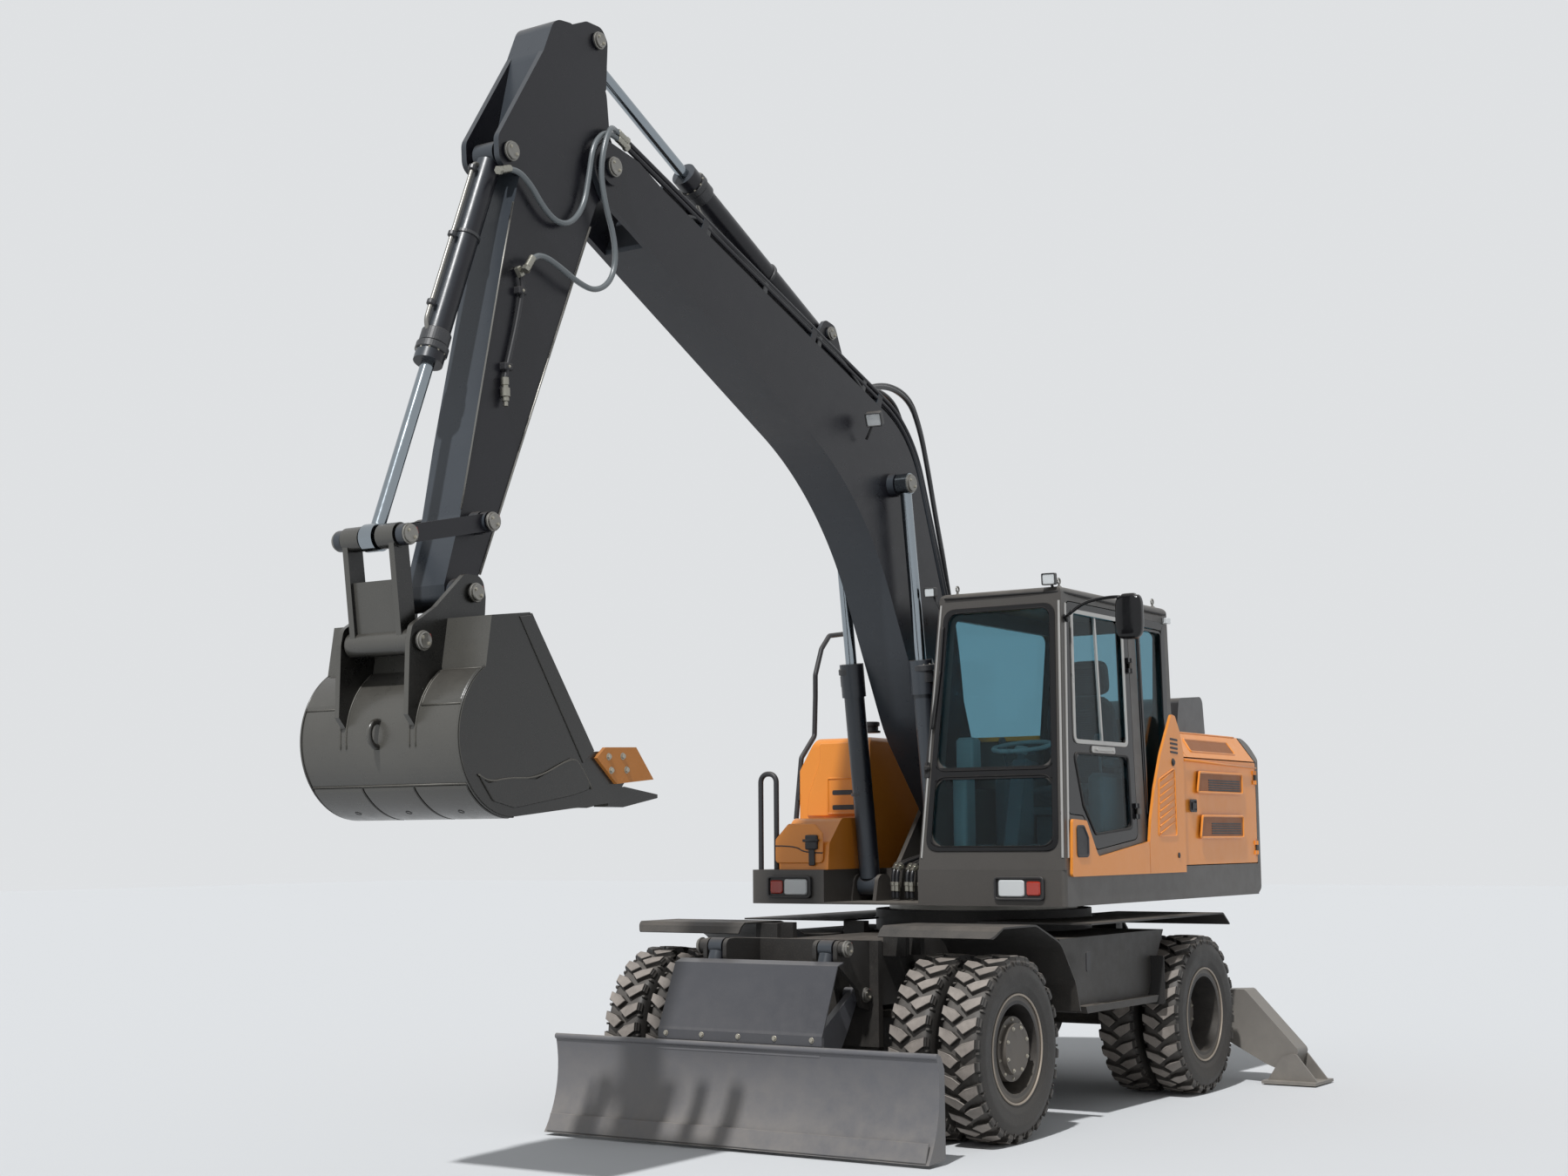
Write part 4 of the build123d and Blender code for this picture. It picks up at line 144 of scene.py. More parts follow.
# ---- Boom to arm hoses ----
# Two free pressure hoses of 30 mm: black rubber covers over wire, from the steel pipes on the boom to the
# fittings on the side of the arm.
ROW_SHIFT = 392
BOOM_Y = -220
HOSE_RADIUS = 0.015
UPPER_ROUTE = (
    (1800.3, 148, 5302.2), (1889.5, 148, 5334), (2000, 160, 5322), (2092, 163, 5225), (2125, 163, 5050),
    (2165, 163, 4880), (2262, 163, 4765), (2376, 163, 4738), (2485, 163, 4788), (2595, 163, 4892),
    (2712, 163, 4938), (2815, 163, 4897),
)
LOWER_ROUTE = (
    (1800.3, 148, 5336.2), (1889.5, 148, 5368), (1985, 190, 5347), (2052, 198, 5205), (2068, 195, 5060),
    (2025, 195, 4905), (1958, 195, 4770), (1938, 195, 4630), (1990, 195, 4508), (2110, 195, 4438),
    (2240, 195, 4450), (2390, 195, 4500), (2510, 195, 4530), (2600, 195, 4512), (2648, 195, 4440),
)
SLEEVE = ((-0.075, 0.0165), (-0.073, 0.0195), (-0.055, 0.0195), (-0.053, 0.0185), (-0.045, 0.0185),
          (-0.043, 0.0195), (-0.03, 0.0195), (-0.028, 0.0185), (-0.02, 0.0185), (-0.018, 0.0195),
          (-0.004, 0.0195), (-0.002, 0.014), (0.0, 0.014))
NUT = ((-0.004, 0.019), (-0.001, 0.023), (0.02, 0.023), (0.023, 0.019))


def spot(x, y, z):
    """A place in millimetres from the front axle, as a point in metres."""
    return Vector(((x + ROW_SHIFT) / 1000, y / 1000, z / 1000))


def settled(item):
    """The mesh that an object makes with its modifiers; the object itself goes."""
    bpy.context.view_layer.update()
    mesh = bpy.data.meshes.new_from_object(item.evaluated_get(bpy.context.evaluated_depsgraph_get()))
    bpy.data.objects.remove(item)
    return mesh


def line_of(points):
    """The smooth line of a NURBS route, as a list of points."""
    curve = bpy.data.curves.new("route", "CURVE")
    curve.dimensions = "3D"
    curve.resolution_u = 12
    spline = curve.splines.new("NURBS")
    spline.points.add(len(points) - 1)
    for place, point in zip(spline.points, points):
        place.co = (*point, 1)
    spline.order_u = 3
    spline.use_endpoint_u = True
    return [vertex.co.copy() for vertex in settled(add_object("route", curve)).vertices]


def skin(rings, caps=True, smooth=False, flat_row=None, travelled=None, turn_out=False):
    """A closed mesh over rings of points; without caps the last ring meets the first. With the distance
    travelled at each ring it gets u round it and v along it in metres."""
    build = bmesh.new()
    uv = build.loops.layers.uv.new("UVMap") if travelled else None
    rings = [[build.verts.new(point) for point in ring] for ring in rings]
    for i, (first, second) in enumerate(zip(rings, rings[1:] if caps else rings[1:] + rings[:1])):
        sides = len(first)
        for k in range(sides):
            j = (k + 1) % sides
            face = build.faces.new((first[k], first[j], second[j], second[k]))
            face.smooth = smooth and k != flat_row
            if travelled:
                for loop, u, v in zip(face.loops, (k, k + 1, k + 1, k), (i, i, i + 1, i + 1)):
                    loop[uv].uv = (u / sides, travelled[v])
    if caps:
        build.faces.new(rings[0][::-1])
        build.faces.new(rings[-1])
    if turn_out:
        bmesh.ops.recalc_face_normals(build, faces=build.faces)
    return finished(build)


def finished(build):
    """The mesh of a bmesh build, which is then freed."""
    mesh = bpy.data.meshes.new("mesh")
    build.to_mesh(mesh)
    build.free()
    return mesh


def circle(centre, across, other, radius, sides):
    """Points round a centre."""
    return [centre + radius * (math.cos(t) * across + math.sin(t) * other)
            for t in (2 * math.pi * k / sides for k in range(sides))]


def tube(line, radius, sides=12):
    """A closed tube round a line."""
    line = [Vector(point) for point in line]
    ways = [(line[min(i + 1, len(line) - 1)] - line[max(i - 1, 0)]).normalized() for i in range(len(line))]
    across = ways[0].orthogonal().normalized()
    rings, travelled = [], [0.0]
    for i, (point, way) in enumerate(zip(line, ways)):
        across = (across - way * across.dot(way)).normalized()
        rings.append(circle(point, across, way.cross(across), radius, sides))
        if i:
            travelled.append(travelled[-1] + (point - line[i - 1]).length)
    return skin(rings, smooth=True, travelled=travelled)


def lathe(profile, start, way, sides=24, hollow=False):
    """A turned piece: profile rows are (distance along the axis, radius); a hollow one is a ring."""
    way = Vector(way).normalized()
    across = way.orthogonal().normalized()
    rings = [circle(Vector(start) + way * distance, across, way.cross(across), radius, sides)
             for distance, radius in profile]
    return skin(rings, caps=not hollow)


def joined(meshes):
    """One mesh from several; each keeps its own faces."""
    build = bmesh.new()
    for mesh in meshes:
        build.from_mesh(mesh)
        bpy.data.meshes.remove(mesh)
    return finished(build)


def new_piece(name, meshes, body, slot, *materials):
    """A piece of the machine, of one mesh or several, that rides on a body and has its materials."""
    piece = add_object(name, joined(meshes) if isinstance(meshes, list) else meshes)
    piece.data.name = name
    for material in materials:
        piece.data.materials.append(material)
    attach(piece, body)
    return piece


def place_on(tree):
    """The place on the piece in its own coordinates."""
    return add_node(tree, "ShaderNodeTexCoord").outputs["Object"]


def axes(tree, vector):
    """X, Y and Z of a vector."""
    node = add_node(tree, "ShaderNodeSeparateXYZ")
    tree.links.new(vector, node.inputs[0])
    return node.outputs


def noise(tree, scale, detail=4.0, rough=0.55):
    """Value of a noise texture on the piece's own coordinates."""
    node = add_node(tree, "ShaderNodeTexNoise")
    place = place_on(tree)
    for label, source in (("Scale", scale), ("Detail", detail), ("Roughness", rough), ("Vector", place)):
        feed(tree, node.inputs[label], source)
    return node.outputs["Fac"]


def times(tree, *values):
    """Product of several values."""
    product = values[0]
    for value in values[1:]:
        product = maths(tree, "MULTIPLY", product, value)
    return product


def mixed(tree, share, first, second):
    """Colour between two colours."""
    node = add_node(tree, "ShaderNodeMix", data_type="RGBA")
    for place, source in ((0, share), (6, first), (7, second)):
        feed(tree, node.inputs[place], source)
    return node.outputs[2]


def tone(code):
    """Linear colour of a screen colour code."""
    parts = [int(code[i:i + 2], 16) / 255 for i in (1, 3, 5)]
    return (*[p / 12.92 if p <= 0.04045 else ((p + 0.055) / 1.055) ** 2.4 for p in parts], 1.0)


def bumped(tree, height, distance):
    """Fine relief over a material."""
    rise = add_node(tree, "ShaderNodeBump")
    rise.inputs["Distance"].default_value = distance
    tree.links.new(height, rise.inputs["Height"])
    tree.links.new(rise.outputs["Normal"], tree.nodes["Principled BSDF"].inputs["Normal"])


# Weathering: uneven tone, dust low down and on upward faces, fine speckle and a light scatter of stains.
weather = bpy.data.node_groups.new("weathering", "ShaderNodeTree")
for label, kind, value in (
    ("Paint", "Color", (0.2, 0.2, 0.2, 1)), ("Dust", "Color", tone("#9a9084")), ("Mottle", "Float", 0.12),
    ("Dust Amount", "Float", 0.3), ("Dust Height", "Float", 1.2), ("Top Dust", "Float", 0.3),
    ("Speckle", "Float", 0.08), ("Roughness", "Float", 0.45),
):
    socket = weather.interface.new_socket(name=label, in_out="INPUT", socket_type="NodeSocket" + kind)
    socket.default_value = value
for label, kind in (("Color", "Color"), ("Roughness", "Float"), ("Height", "Float")):
    weather.interface.new_socket(name=label, in_out="OUTPUT", socket_type="NodeSocket" + kind)
given = add_node(weather, "NodeGroupInput").outputs
wanted = add_node(weather, "NodeGroupOutput").inputs
broad, fine, grain = noise(weather, 1.1, 5), noise(weather, 11, 8, 0.65), noise(weather, 160, 3)
low = span(weather, axes(weather, place_on(weather))["Z"], given["Dust Height"], 0.0)
facing = axes(weather, add_node(weather, "ShaderNodeNewGeometry").outputs["Normal"])
flat = times(weather, span(weather, facing["Z"], 0.35, 0.95), given["Top Dust"])
gather = maths(weather, "ADD", times(weather, low, given["Dust Amount"]), flat)
patches = span(weather, maths(weather, "ADD", broad, fine), 0.75, 1.25, 0.35, 1.25)
dust = maths(weather, "MINIMUM", times(weather, gather, patches), 1.0)
swing = maths(weather, "MULTIPLY", maths(weather, "ADD", broad, -0.5), 2.0)
shade = maths(weather, "ADD", times(weather, swing, given["Mottle"]), 1.0)
bits = times(weather, span(weather, grain, 0.56, 0.72), given["Speckle"])
scaled = add_node(weather, "ShaderNodeVectorMath", operation="SCALE")
weather.links.new(given["Paint"], scaled.inputs[0])
weather.links.new(shade, scaled.inputs["Scale"])
painted = mixed(weather, bits, scaled.outputs[0], given["Dust"])
weather.links.new(mixed(weather, dust, painted, given["Dust"]), wanted["Color"])
rougher = maths(weather, "ADD", times(weather, dust, 0.4), span(weather, fine, 0.3, 0.7, -0.05, 0.07))
weather.links.new(maths(weather, "ADD", rougher, given["Roughness"]), wanted["Roughness"])
relief = maths(weather, "ADD", times(weather, grain, 0.6), times(weather, fine, 0.5))
weather.links.new(relief, wanted["Height"])


def weathered(name, paint, rough=0.45, dust="#9a9084", amount=0.3, height=1.2, top=0.3, mottle=0.12,
              speckle=0.08, bump=0.0004, metallic=0.0, coat=0.0, coat_rough=0.1, specular=0.5):
    """A painted, cast, moulded or rubber surface with the weathering group."""
    material, tree = plain(name, Metallic=metallic, Coat_Weight=coat, Coat_Roughness=coat_rough,
                           Specular_IOR_Level=specular)
    group = add_node(tree, "ShaderNodeGroup", node_tree=weather)
    values = (tone(paint), tone(dust), mottle, amount, height, top, speckle, rough)
    for target, value in zip(group.inputs, values):
        target.default_value = value
    for label, target in (("Color", "Base Color"), ("Roughness", "Roughness")):
        tree.links.new(group.outputs[label], tree.nodes["Principled BSDF"].inputs[target])
    bumped(tree, group.outputs["Height"], bump)
    return material


# The covers are black rubber; their mid grey colour is a painted highlight of the glossy rubber's sheen.
hose_cover_with_sheen = weathered("hose cover", "#63696c", 0.34, amount=0.0, top=0.05, mottle=0.1, speckle=0.03,
                       bump=0.0002, coat=0.25, coat_rough=0.25)
swaged_steel = weathered("swaged steel", "#9c9a90", 0.3, amount=0.05, top=0.1, mottle=0.15, bump=0.0001,
                         metallic=0.9)
boom_side_ends = []
arm_side_ends = []
for name, route in (("upper_hose", UPPER_ROUTE), ("lower_hose", LOWER_ROUTE)):
    points = [spot(x, BOOM_Y + y, z) for x, y, z in route]
    line = line_of(points)
    length = sum((b - a).length for a, b in zip(line, line[1:]))
    hose = add_object(name + "_cover", tube(line, HOSE_RADIUS))
    hose.data.name = hose.name
    hose.data.materials.append(hose_cover_with_sheen)
    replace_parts(hose, name)
    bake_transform(hose)
    for ends, tip, before in ((boom_side_ends, line[0], line[1]), (arm_side_ends, line[-1], line[-2])):
        ends += [lathe(SLEEVE, tip, tip - before), lathe(NUT, tip, tip - before, 6)]
new_piece("hose_ends_on_boom", boom_side_ends, "boom", "steel", swaged_steel)
new_piece("hose_ends_on_arm", arm_side_ends, "arm", "steel", swaged_steel)

# ---- Paint on the modelled parts ----
# The steelwork is painted charcoal, warm grey and orange; dust lies low down and on flat tops. Rods are
# chromed, glass is tinted, and castings and axles are dull.
charcoal = weathered("charcoal paint", "#17171d", 0.30, "#8d857c", 0.25, 0.9, 0.20, 0.25, 0.02, 0.0003,
                     specular=0.4)
warm_grey = weathered("warm grey paint", "#423f3c", 0.40, "#a39b90", 0.12, 1.7, 0.25, 0.1, 0.04, 0.00025,
                      coat=0.1, coat_rough=0.3)
undercarriage = weathered("undercarriage paint", "#252423", 0.5, "#857c72", 0.2, 1.3, 0.3, 0.2, 0.14, 0.0006)
axle_paint = weathered("axle paint", "#252422", 0.55, "#7c7368", 0.3, 1.2, 0.35, 0.25, 0.2, 0.0009)
engine_cast = weathered("engine casting", "#3a3a3c", 0.7, top=0.4, mottle=0.3, speckle=0.2, bump=0.001)
bare_steel = weathered("bare steel", "#8b8984", 0.38, amount=0.2, top=0.15, mottle=0.2, bump=0.0002,
                       metallic=0.85)
rod_chrome = weathered("rod chrome", "#949ca2", 0.16, amount=0.0, top=0.04, mottle=0.04, speckle=0.02,
                       bump=0.00003, metallic=1.0)
black_trim_and_shade = weathered("black trim", "#27272a", 0.5, amount=0.1, top=0.18, mottle=0.08, speckle=0.04,
                       bump=0.0003)
orange_paint = weathered("orange paint", "#e38b2c", 0.34, "#b0a08a", 0.12, 1.9, 0.14, 0.05, 0.02, 0.00015,
                         coat=0.3, coat_rough=0.15)
worn_orange = weathered("worn orange paint", "#b8742f", 0.5, "#6b5a48", 0.3, 2.6, 0.3, 0.25, 0.2, 0.0005)
outrigger_paint = weathered("outrigger paint", "#6d6a66", 0.42, "#a39b90", 0.25, 0.8, 0.2, 0.12, 0.06, 0.0003)


def repaint(tree, colour):
    """A colour of its own for the paint under the weathering."""
    tree.links.new(colour, next(node for node in tree.nodes if node.type == "GROUP").inputs["Paint"])


def painted_sheen_in_front(material, paint, pale):
    """Surfaces that face forwards get a paler tone: a painted sheen of the light from the front."""
    tree = material.node_tree
    forwards = axes(tree, add_node(tree, "ShaderNodeNewGeometry").outputs["True Normal"])["X"]
    repaint(tree, mixed(tree, span(tree, forwards, 0.35, 0.95), tone(paint), tone(pale)))


# Painted sheen: the forward faces of the charcoal paint are made paler.
painted_sheen_in_front(charcoal, "#17171d", "#3c4147")
lamp_lens, lens_tree = plain("lamp lens", Base_Color=tone("#dfe3e4"), Roughness=0.12, Coat_Weight=0.6)
lens_ribs = add_node(lens_tree, "ShaderNodeTexWave", bands_direction="Y")
lens_ribs.inputs["Scale"].default_value = 60
lens_tree.links.new(place_on(lens_tree), lens_ribs.inputs["Vector"])
bumped(lens_tree, lens_ribs.outputs["Fac"], 0.002)
tinted_glass, glass_tree = plain("tinted glass", Base_Color=tone("#9dbfc9"), Transmission_Weight=1.0,
                                 IOR=1.02, Coat_Weight=0.35, Coat_Roughness=0.02)
glass_film = span(glass_tree, noise(glass_tree, 6, 6), 0.3, 0.8, 0.0, 0.08)
glass_tree.links.new(glass_film, glass_tree.nodes["Principled BSDF"].inputs["Roughness"])

# The hood's intake hump between two lines across the machine, above the shoulder, is black.
HUMP_Y, HUMP_Z = (0.195, 0.805), 2.345
hood_paint = orange_paint.copy()
hood_paint.name = "hood paint"
hood_tree = hood_paint.node_tree
hood_place = axes(hood_tree, place_on(hood_tree))
hump = times(hood_tree, span(hood_tree, hood_place["Y"], HUMP_Y[0] - 0.002, HUMP_Y[0]),
             span(hood_tree, hood_place["Y"], HUMP_Y[1] + 0.002, HUMP_Y[1]),
             span(hood_tree, hood_place["Z"], HUMP_Z, HUMP_Z + 0.003))
repaint(hood_tree, mixed(hood_tree, hump, tone("#e38b2c"), tone("#2a2a2c")))

# Rims: near black inside the recessed dish as painted shade, a pale worn edge where the tyre seats, grey
# hubs.
FRONT_X, REAR_X, AXLE_Z = 0.392, -2.242, 0.503
MIDWAY = (-1.0, -0.99)
rim_paint = weathered("rim paint", "#4d4843", 0.5, "#8b8378", 0.35, 0.9, 0.1, 0.12, 0.08)


def from_axle(tree):
    """Distance from the line of the nearer axle."""
    place = axes(tree, place_on(tree))
    x = maths(tree, "SUBTRACT", place["X"], span(tree, place["X"], *MIDWAY, REAR_X, FRONT_X))
    z = maths(tree, "SUBTRACT", place["Z"], AXLE_Z)
    reach = add_node(tree, "ShaderNodeVectorMath", operation="LENGTH")
    tree.links.new(result_of(tree, "ShaderNodeCombineXYZ", x, z), reach.inputs[0])
    return reach.outputs["Value"]


rim_tree = rim_paint.node_tree
rim_reach = from_axle(rim_tree)
# Painted shade: the recessed dish between the hub and the rim's edge is made near black.
dish = times(rim_tree, span(rim_tree, rim_reach, 0.176, 0.178), span(rim_tree, rim_reach, 0.262, 0.258))
dish_shade_colour = mixed(rim_tree, dish, tone("#4d4843"), tone("#17171a"))
repaint(rim_tree, mixed(rim_tree, span(rim_tree, rim_reach, 0.262, 0.268), dish_shade_colour, tone("#45403b")))

PAINTS = {
    charcoal: "arm arm_cylinder_barrel blade_cylinder_barrels boom boom_cylinder_barrels boom_pipes "
              "bucket_cylinder_barrel guide_links",
    rod_chrome: "arm_cylinder_rod blade_cylinder_rods boom_cylinder_rods bucket_cylinder_rod "
                "outrigger_rod_left outrigger_rod_right",
    warm_grey: "cab_shell counterweight revolving_frame",
    outrigger_paint: "outrigger_barrel_left outrigger_barrel_right outrigger_left outrigger_right",
    undercarriage: "chassis_frame fenders step_boxes",
    axle_paint: "drive_shafts front_axle rear_axle knuckle_left knuckle_right",
    orange_paint: "side_door_left side_door_right side_panels tank toolbox",
    worn_orange: "side_cutters",
    hood_paint: "engine_hood",
    rim_paint: "rims_front_left rims_front_right rims_rear_left rims_rear_right",
    engine_cast: "engine_block",
    bare_steel: "slew_bearing",
    tinted_glass: "cab_glass cab_door_glass",
    black_trim_and_shade: "handrails mirrors",
    lamp_lens: "head_lamps",
}


def paint_nodes(material, names):
    for name in names.split():
        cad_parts[name].material_slots[0].material = material


for material, names in PAINTS.items():
    paint_nodes(material, names)

# ---- Tyres ----
# Rubber, in pairs on each wheel: a rounded casing with two faint rings in its wall, and two staggered rows of
# 26 chamfered lugs with a step and a rib at the shoulder. They sit on the rims' beads.
WHEELS = [(f"{end}_{hand}", x, side) for end, x in (("front", FRONT_X), ("rear", REAR_X))
          for side, hand in ((1, "left"), (-1, "right"))]
TWIN_Y = (0.812, 1.115)
LUG_TOP, LUG_ROOT, LUG_COUNT = 0.503, 0.469, 26
CASING = (
    (0.2556, -0.095), (0.262, -0.098), (0.292, -0.1035), (0.302, -0.108), (0.335, -0.1185), (0.341, -0.1212),
    (0.347, -0.121), (0.372, -0.1255), (0.395, -0.126), (0.409, -0.1272), (0.414, -0.1258), (0.438, -0.1215),
    (0.455, -0.113), (0.466, -0.1), (0.4705, -0.07), (0.4715, 0.0),
)
CASING_STEPS = 104
LUG_SHAPE = ((0.108, 0.030), (0.108, -0.018), (0.036, -0.066), (-0.010, -0.026), (0.034, 0.006))
LUG_LAYERS = ((LUG_TOP, -0.003), (LUG_TOP - 0.003, 0.0), (LUG_ROOT, 0.006))
LUG_MIDDLE = Vector([sum(values) / len(LUG_SHAPE) for values in zip(*LUG_SHAPE)])
RIBS = ((0.030, -0.018, 0.490, 0.452, 0.1215), (-0.036, -0.048, 0.474, 0.440, 0.1235))


def wheel_tyre(x, side):
    """Parts of the two tyres of a wheel; side is 1 on the left."""
    profile = CASING + tuple((r, -y) for r, y in CASING[-2::-1])

    def at(radius, y, angle):
        return Vector((x + radius * math.cos(angle), y, AXLE_Z + radius * math.sin(angle)))

    def lug(middle, row, turn):
        layers = []
        for radius, grow in LUG_LAYERS:
            layers.append([])
            for y, s in LUG_SHAPE:
                way = (Vector((y, s)) - LUG_MIDDLE).normalized() * grow
                crown = 0.0035 * max(0.0, (y + way.x - 0.03) / 0.08) ** 2
                angle = turn + (s + way.y) / LUG_TOP
                layers[-1].append(at(radius - crown, middle + row * (y + way.x), angle))
        return skin(layers, turn_out=True)

    def rib(middle, row, turn, s0, s1, outer_r, inner_r, outer_y):
        section = ((outer_r, 0.100), (outer_r - 0.002, outer_y - 0.006), (inner_r + 0.012, outer_y),
                   (inner_r, 0.1165), (inner_r, 0.100))
        return skin([[at(r, middle + row * y, turn + s / LUG_TOP) for r, y in section] for s in (s0, s1)],
                    turn_out=True)

    parts = []
    for middle in (side * y for y in TWIN_Y):
        rings = [[at(r, middle + y, 2 * math.pi * k / CASING_STEPS) for r, y in profile]
                 for k in range(CASING_STEPS)]
        parts.append(skin(rings, caps=False, smooth=True, flat_row=len(profile) - 1, turn_out=True))
        for row in (-1, 1):
            for n in range(LUG_COUNT):
                turn = 2 * math.pi * (n + (0.5 if row > 0 else 0)) / LUG_COUNT
                parts.append(lug(middle, row, turn))
                parts += [rib(middle, row, turn, *values) for values in RIBS]
    return parts


# Rubber colour: pale dust on the lug tops and in the grooves, dark smooth walls.
rubber = weathered("tyre rubber", "#2f2d2b", 0.55, "#8f877e", 0.12, 0.5, 0.08, 0.12, 0.1, 0.0006,
                   specular=0.4)
rubber_tree = rubber.node_tree
tread_reach = from_axle(rubber_tree)
smudge = span(rubber_tree, noise(rubber_tree, 9, 6, 0.7), 0.3, 0.7, 0.55, 1.0)
tops = times(rubber_tree, span(rubber_tree, tread_reach, 0.4965, 0.499), smudge)
grooves = times(rubber_tree, span(rubber_tree, tread_reach, 0.478, 0.4715, 0.0, 0.45),
                span(rubber_tree, tread_reach, 0.462, 0.468), smudge)
dusty = mixed(rubber_tree, grooves, tone("#302e2c"), tone("#78736e"))
repaint(rubber_tree, mixed(rubber_tree, tops, dusty, tone("#989089")))
for wheel, x, side in WHEELS:
    name = "tyres_" + wheel
    tyre = add_object(name + "_tread", joined(wheel_tyre(x, side)))
    tyre.data.materials.append(rubber)
    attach(tyre, "wheel_" + wheel)
    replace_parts(tyre, name)

# ---- Wheel bolts and bead rings ----
# Pale zinc bolts round the hub caps, and a rolled bright edge on each outer rim. The bolts are screwed into
# the hubs.
HUB_BOLTS = {FRONT_X: ((8, 0.120, 1.2225, 0.0085), (10, 0.157, 1.1925, 0.007)),
             REAR_X: ((8, 0.112, 1.0905, 0.0085), (10, 0.141, 1.0755, 0.007))}
EDGE_LINE = ((0.0045, 0.2860), (0.0045, 0.2960), (0.0090, 0.2985), (0.0130, 0.2960), (0.0140, 0.2920),
             (0.0110, 0.2860))
EDGE_OUT, EDGE_STEPS = 1.2145, 72


def copies_tree():
    """Geometry nodes that set a part on every point, turned to the point's own way and size."""
    tree = bpy.data.node_groups.new("set on points", "GeometryNodeTree")
    for label, kind in (("Points", "Geometry"), ("Part", "Object"), ("Material", "Material"),
                        ("Turn", "Float"), ("Seed", "Int")):
        tree.interface.new_socket(name=label, in_out="INPUT", socket_type="NodeSocket" + kind)
    tree.interface.new_socket(name="Copies", in_out="OUTPUT", socket_type="NodeSocketGeometry")
    given = add_node(tree, "NodeGroupInput").outputs
    part = add_node(tree, "GeometryNodeObjectInfo")
    way, size = (result_of(tree, "GeometryNodeInputNamedAttribute", label, data_type=kind)
                 for label, kind in (("way", "FLOAT_VECTOR"), ("size", "FLOAT")))
    turn = add_node(tree, "FunctionNodeRandomValue", data_type="FLOAT")
    spin = add_node(tree, "ShaderNodeCombineXYZ")
    align = add_node(tree, "FunctionNodeAlignEulerToVector", axis="Z")
    rotate = add_node(tree, "FunctionNodeRotateEuler", space="LOCAL")
    put = add_node(tree, "GeometryNodeInstanceOnPoints")
    real = add_node(tree, "GeometryNodeRealizeInstances")
    cover = add_node(tree, "GeometryNodeSetMaterial")
    for source, target in (
        (given["Part"], part.inputs["Object"]), (given["Turn"], turn.inputs[3]),
        (given["Seed"], turn.inputs["Seed"]),
        (turn.outputs[1], spin.inputs["Z"]), (way, align.inputs["Vector"]),
        (align.outputs[0], rotate.inputs["Rotation"]), (spin.outputs[0], rotate.inputs["Rotate By"]),
        (given["Points"], put.inputs["Points"]), (part.outputs["Geometry"], put.inputs["Instance"]),
        (rotate.outputs[0], put.inputs["Rotation"]), (size, put.inputs["Scale"]),
        (put.outputs[0], real.inputs[0]), (real.outputs[0], cover.inputs["Geometry"]),
        (given["Material"], cover.inputs["Material"]),
        (cover.outputs[0], add_node(tree, "NodeGroupOutput").inputs[0]),
    ):
        tree.links.new(source, target)
    return tree


COPIES = copies_tree()
zinc = weathered("zinc", "#a8a498", 0.35, amount=0.25, top=0.1, bump=0.0001, metallic=0.7)


def set_bolts(name, places, body):
    """Hexagon bolts on washers as one plain mesh; places are (point, way, size)."""
    mesh = bpy.data.meshes.new(name + " points")
    mesh.from_pydata([tuple(point) for point, way, size in places], [], [])
    for label, kind in (("way", "FLOAT_VECTOR"), ("size", "FLOAT")):
        mesh.attributes.new(label, kind, "POINT")
    for i, (point, way, size) in enumerate(places):
        mesh.attributes["way"].data[i].vector = way
        mesh.attributes["size"].data[i].value = size
    washer = lathe([(-0.3, 1.35), (0.18, 1.35), (0.24, 1.28)], (0, 0, 0), (0, 0, 1), 16)
    head = lathe([(0.1, 1.0), (0.82, 1.0), (0.95, 0.86)], (0, 0, 0), (0, 0, 1), 6)
    part = add_object("part", joined([washer, head]))
    holder = add_object("points", mesh)
    modifier = holder.modifiers.new("copies", "NODES")
    modifier.node_group = COPIES
    keys = {item.name: item.identifier for item in COPIES.interface.items_tree if item.in_out == "INPUT"}
    for label, value in (("Part", part), ("Material", zinc), ("Turn", 6.28), ("Seed", 7)):
        modifier[keys[label]] = value
    bolts = settled(holder)
    bpy.data.objects.remove(part)
    new_piece(name, bolts, body, "steel")


rolled_edge = weathered("rolled rim edge", "#9a8f82", 0.35, height=0.8, top=0.1, mottle=0.25, bump=0.0003,
                        metallic=0.3)
for wheel, x, side in WHEELS:
    ring = []
    for count, reach, out, size in HUB_BOLTS[x]:
        for t in (2 * math.pi * (k + 0.5) / count for k in range(count)):
            place = (x + reach * math.cos(t), side * out, AXLE_Z + reach * math.sin(t))
            ring.append((place, (0, side, 0), size))
    set_bolts("hub_bolts_" + wheel, ring, "wheel_" + wheel)
    rows = [[Vector((x + r * math.cos(t), side * (EDGE_OUT + out), AXLE_Z + r * math.sin(t)))
             for out, r in EDGE_LINE] for t in (2 * math.pi * k / EDGE_STEPS for k in range(EDGE_STEPS))]
    edge = skin(rows, caps=False, smooth=True, turn_out=True)
    new_piece("rim_edge_" + wheel, edge, "wheel_" + wheel, "rim_paint", rolled_edge)

# ---- Cab glazing trim ----
# Black rubber seals and a bonded band round the front panes, a glossy black door with a silver window frame,
# and black panels round the rear side pane. All are glued or clipped to the cab's shell and door.
CAB_BASE = 1.45
SEAL_CHAMFER = 0.003


def plane(origin, across, upward=(0, 0, 1)):
    """A face: its origin and its two ways; it looks along across x upward."""
    return Vector(origin), Vector(across), Vector(upward).normalized()


def rect(a0, a1, b0, b1):
    return [(a0, b0), (a1, b0), (a1, b1), (a0, b1)]


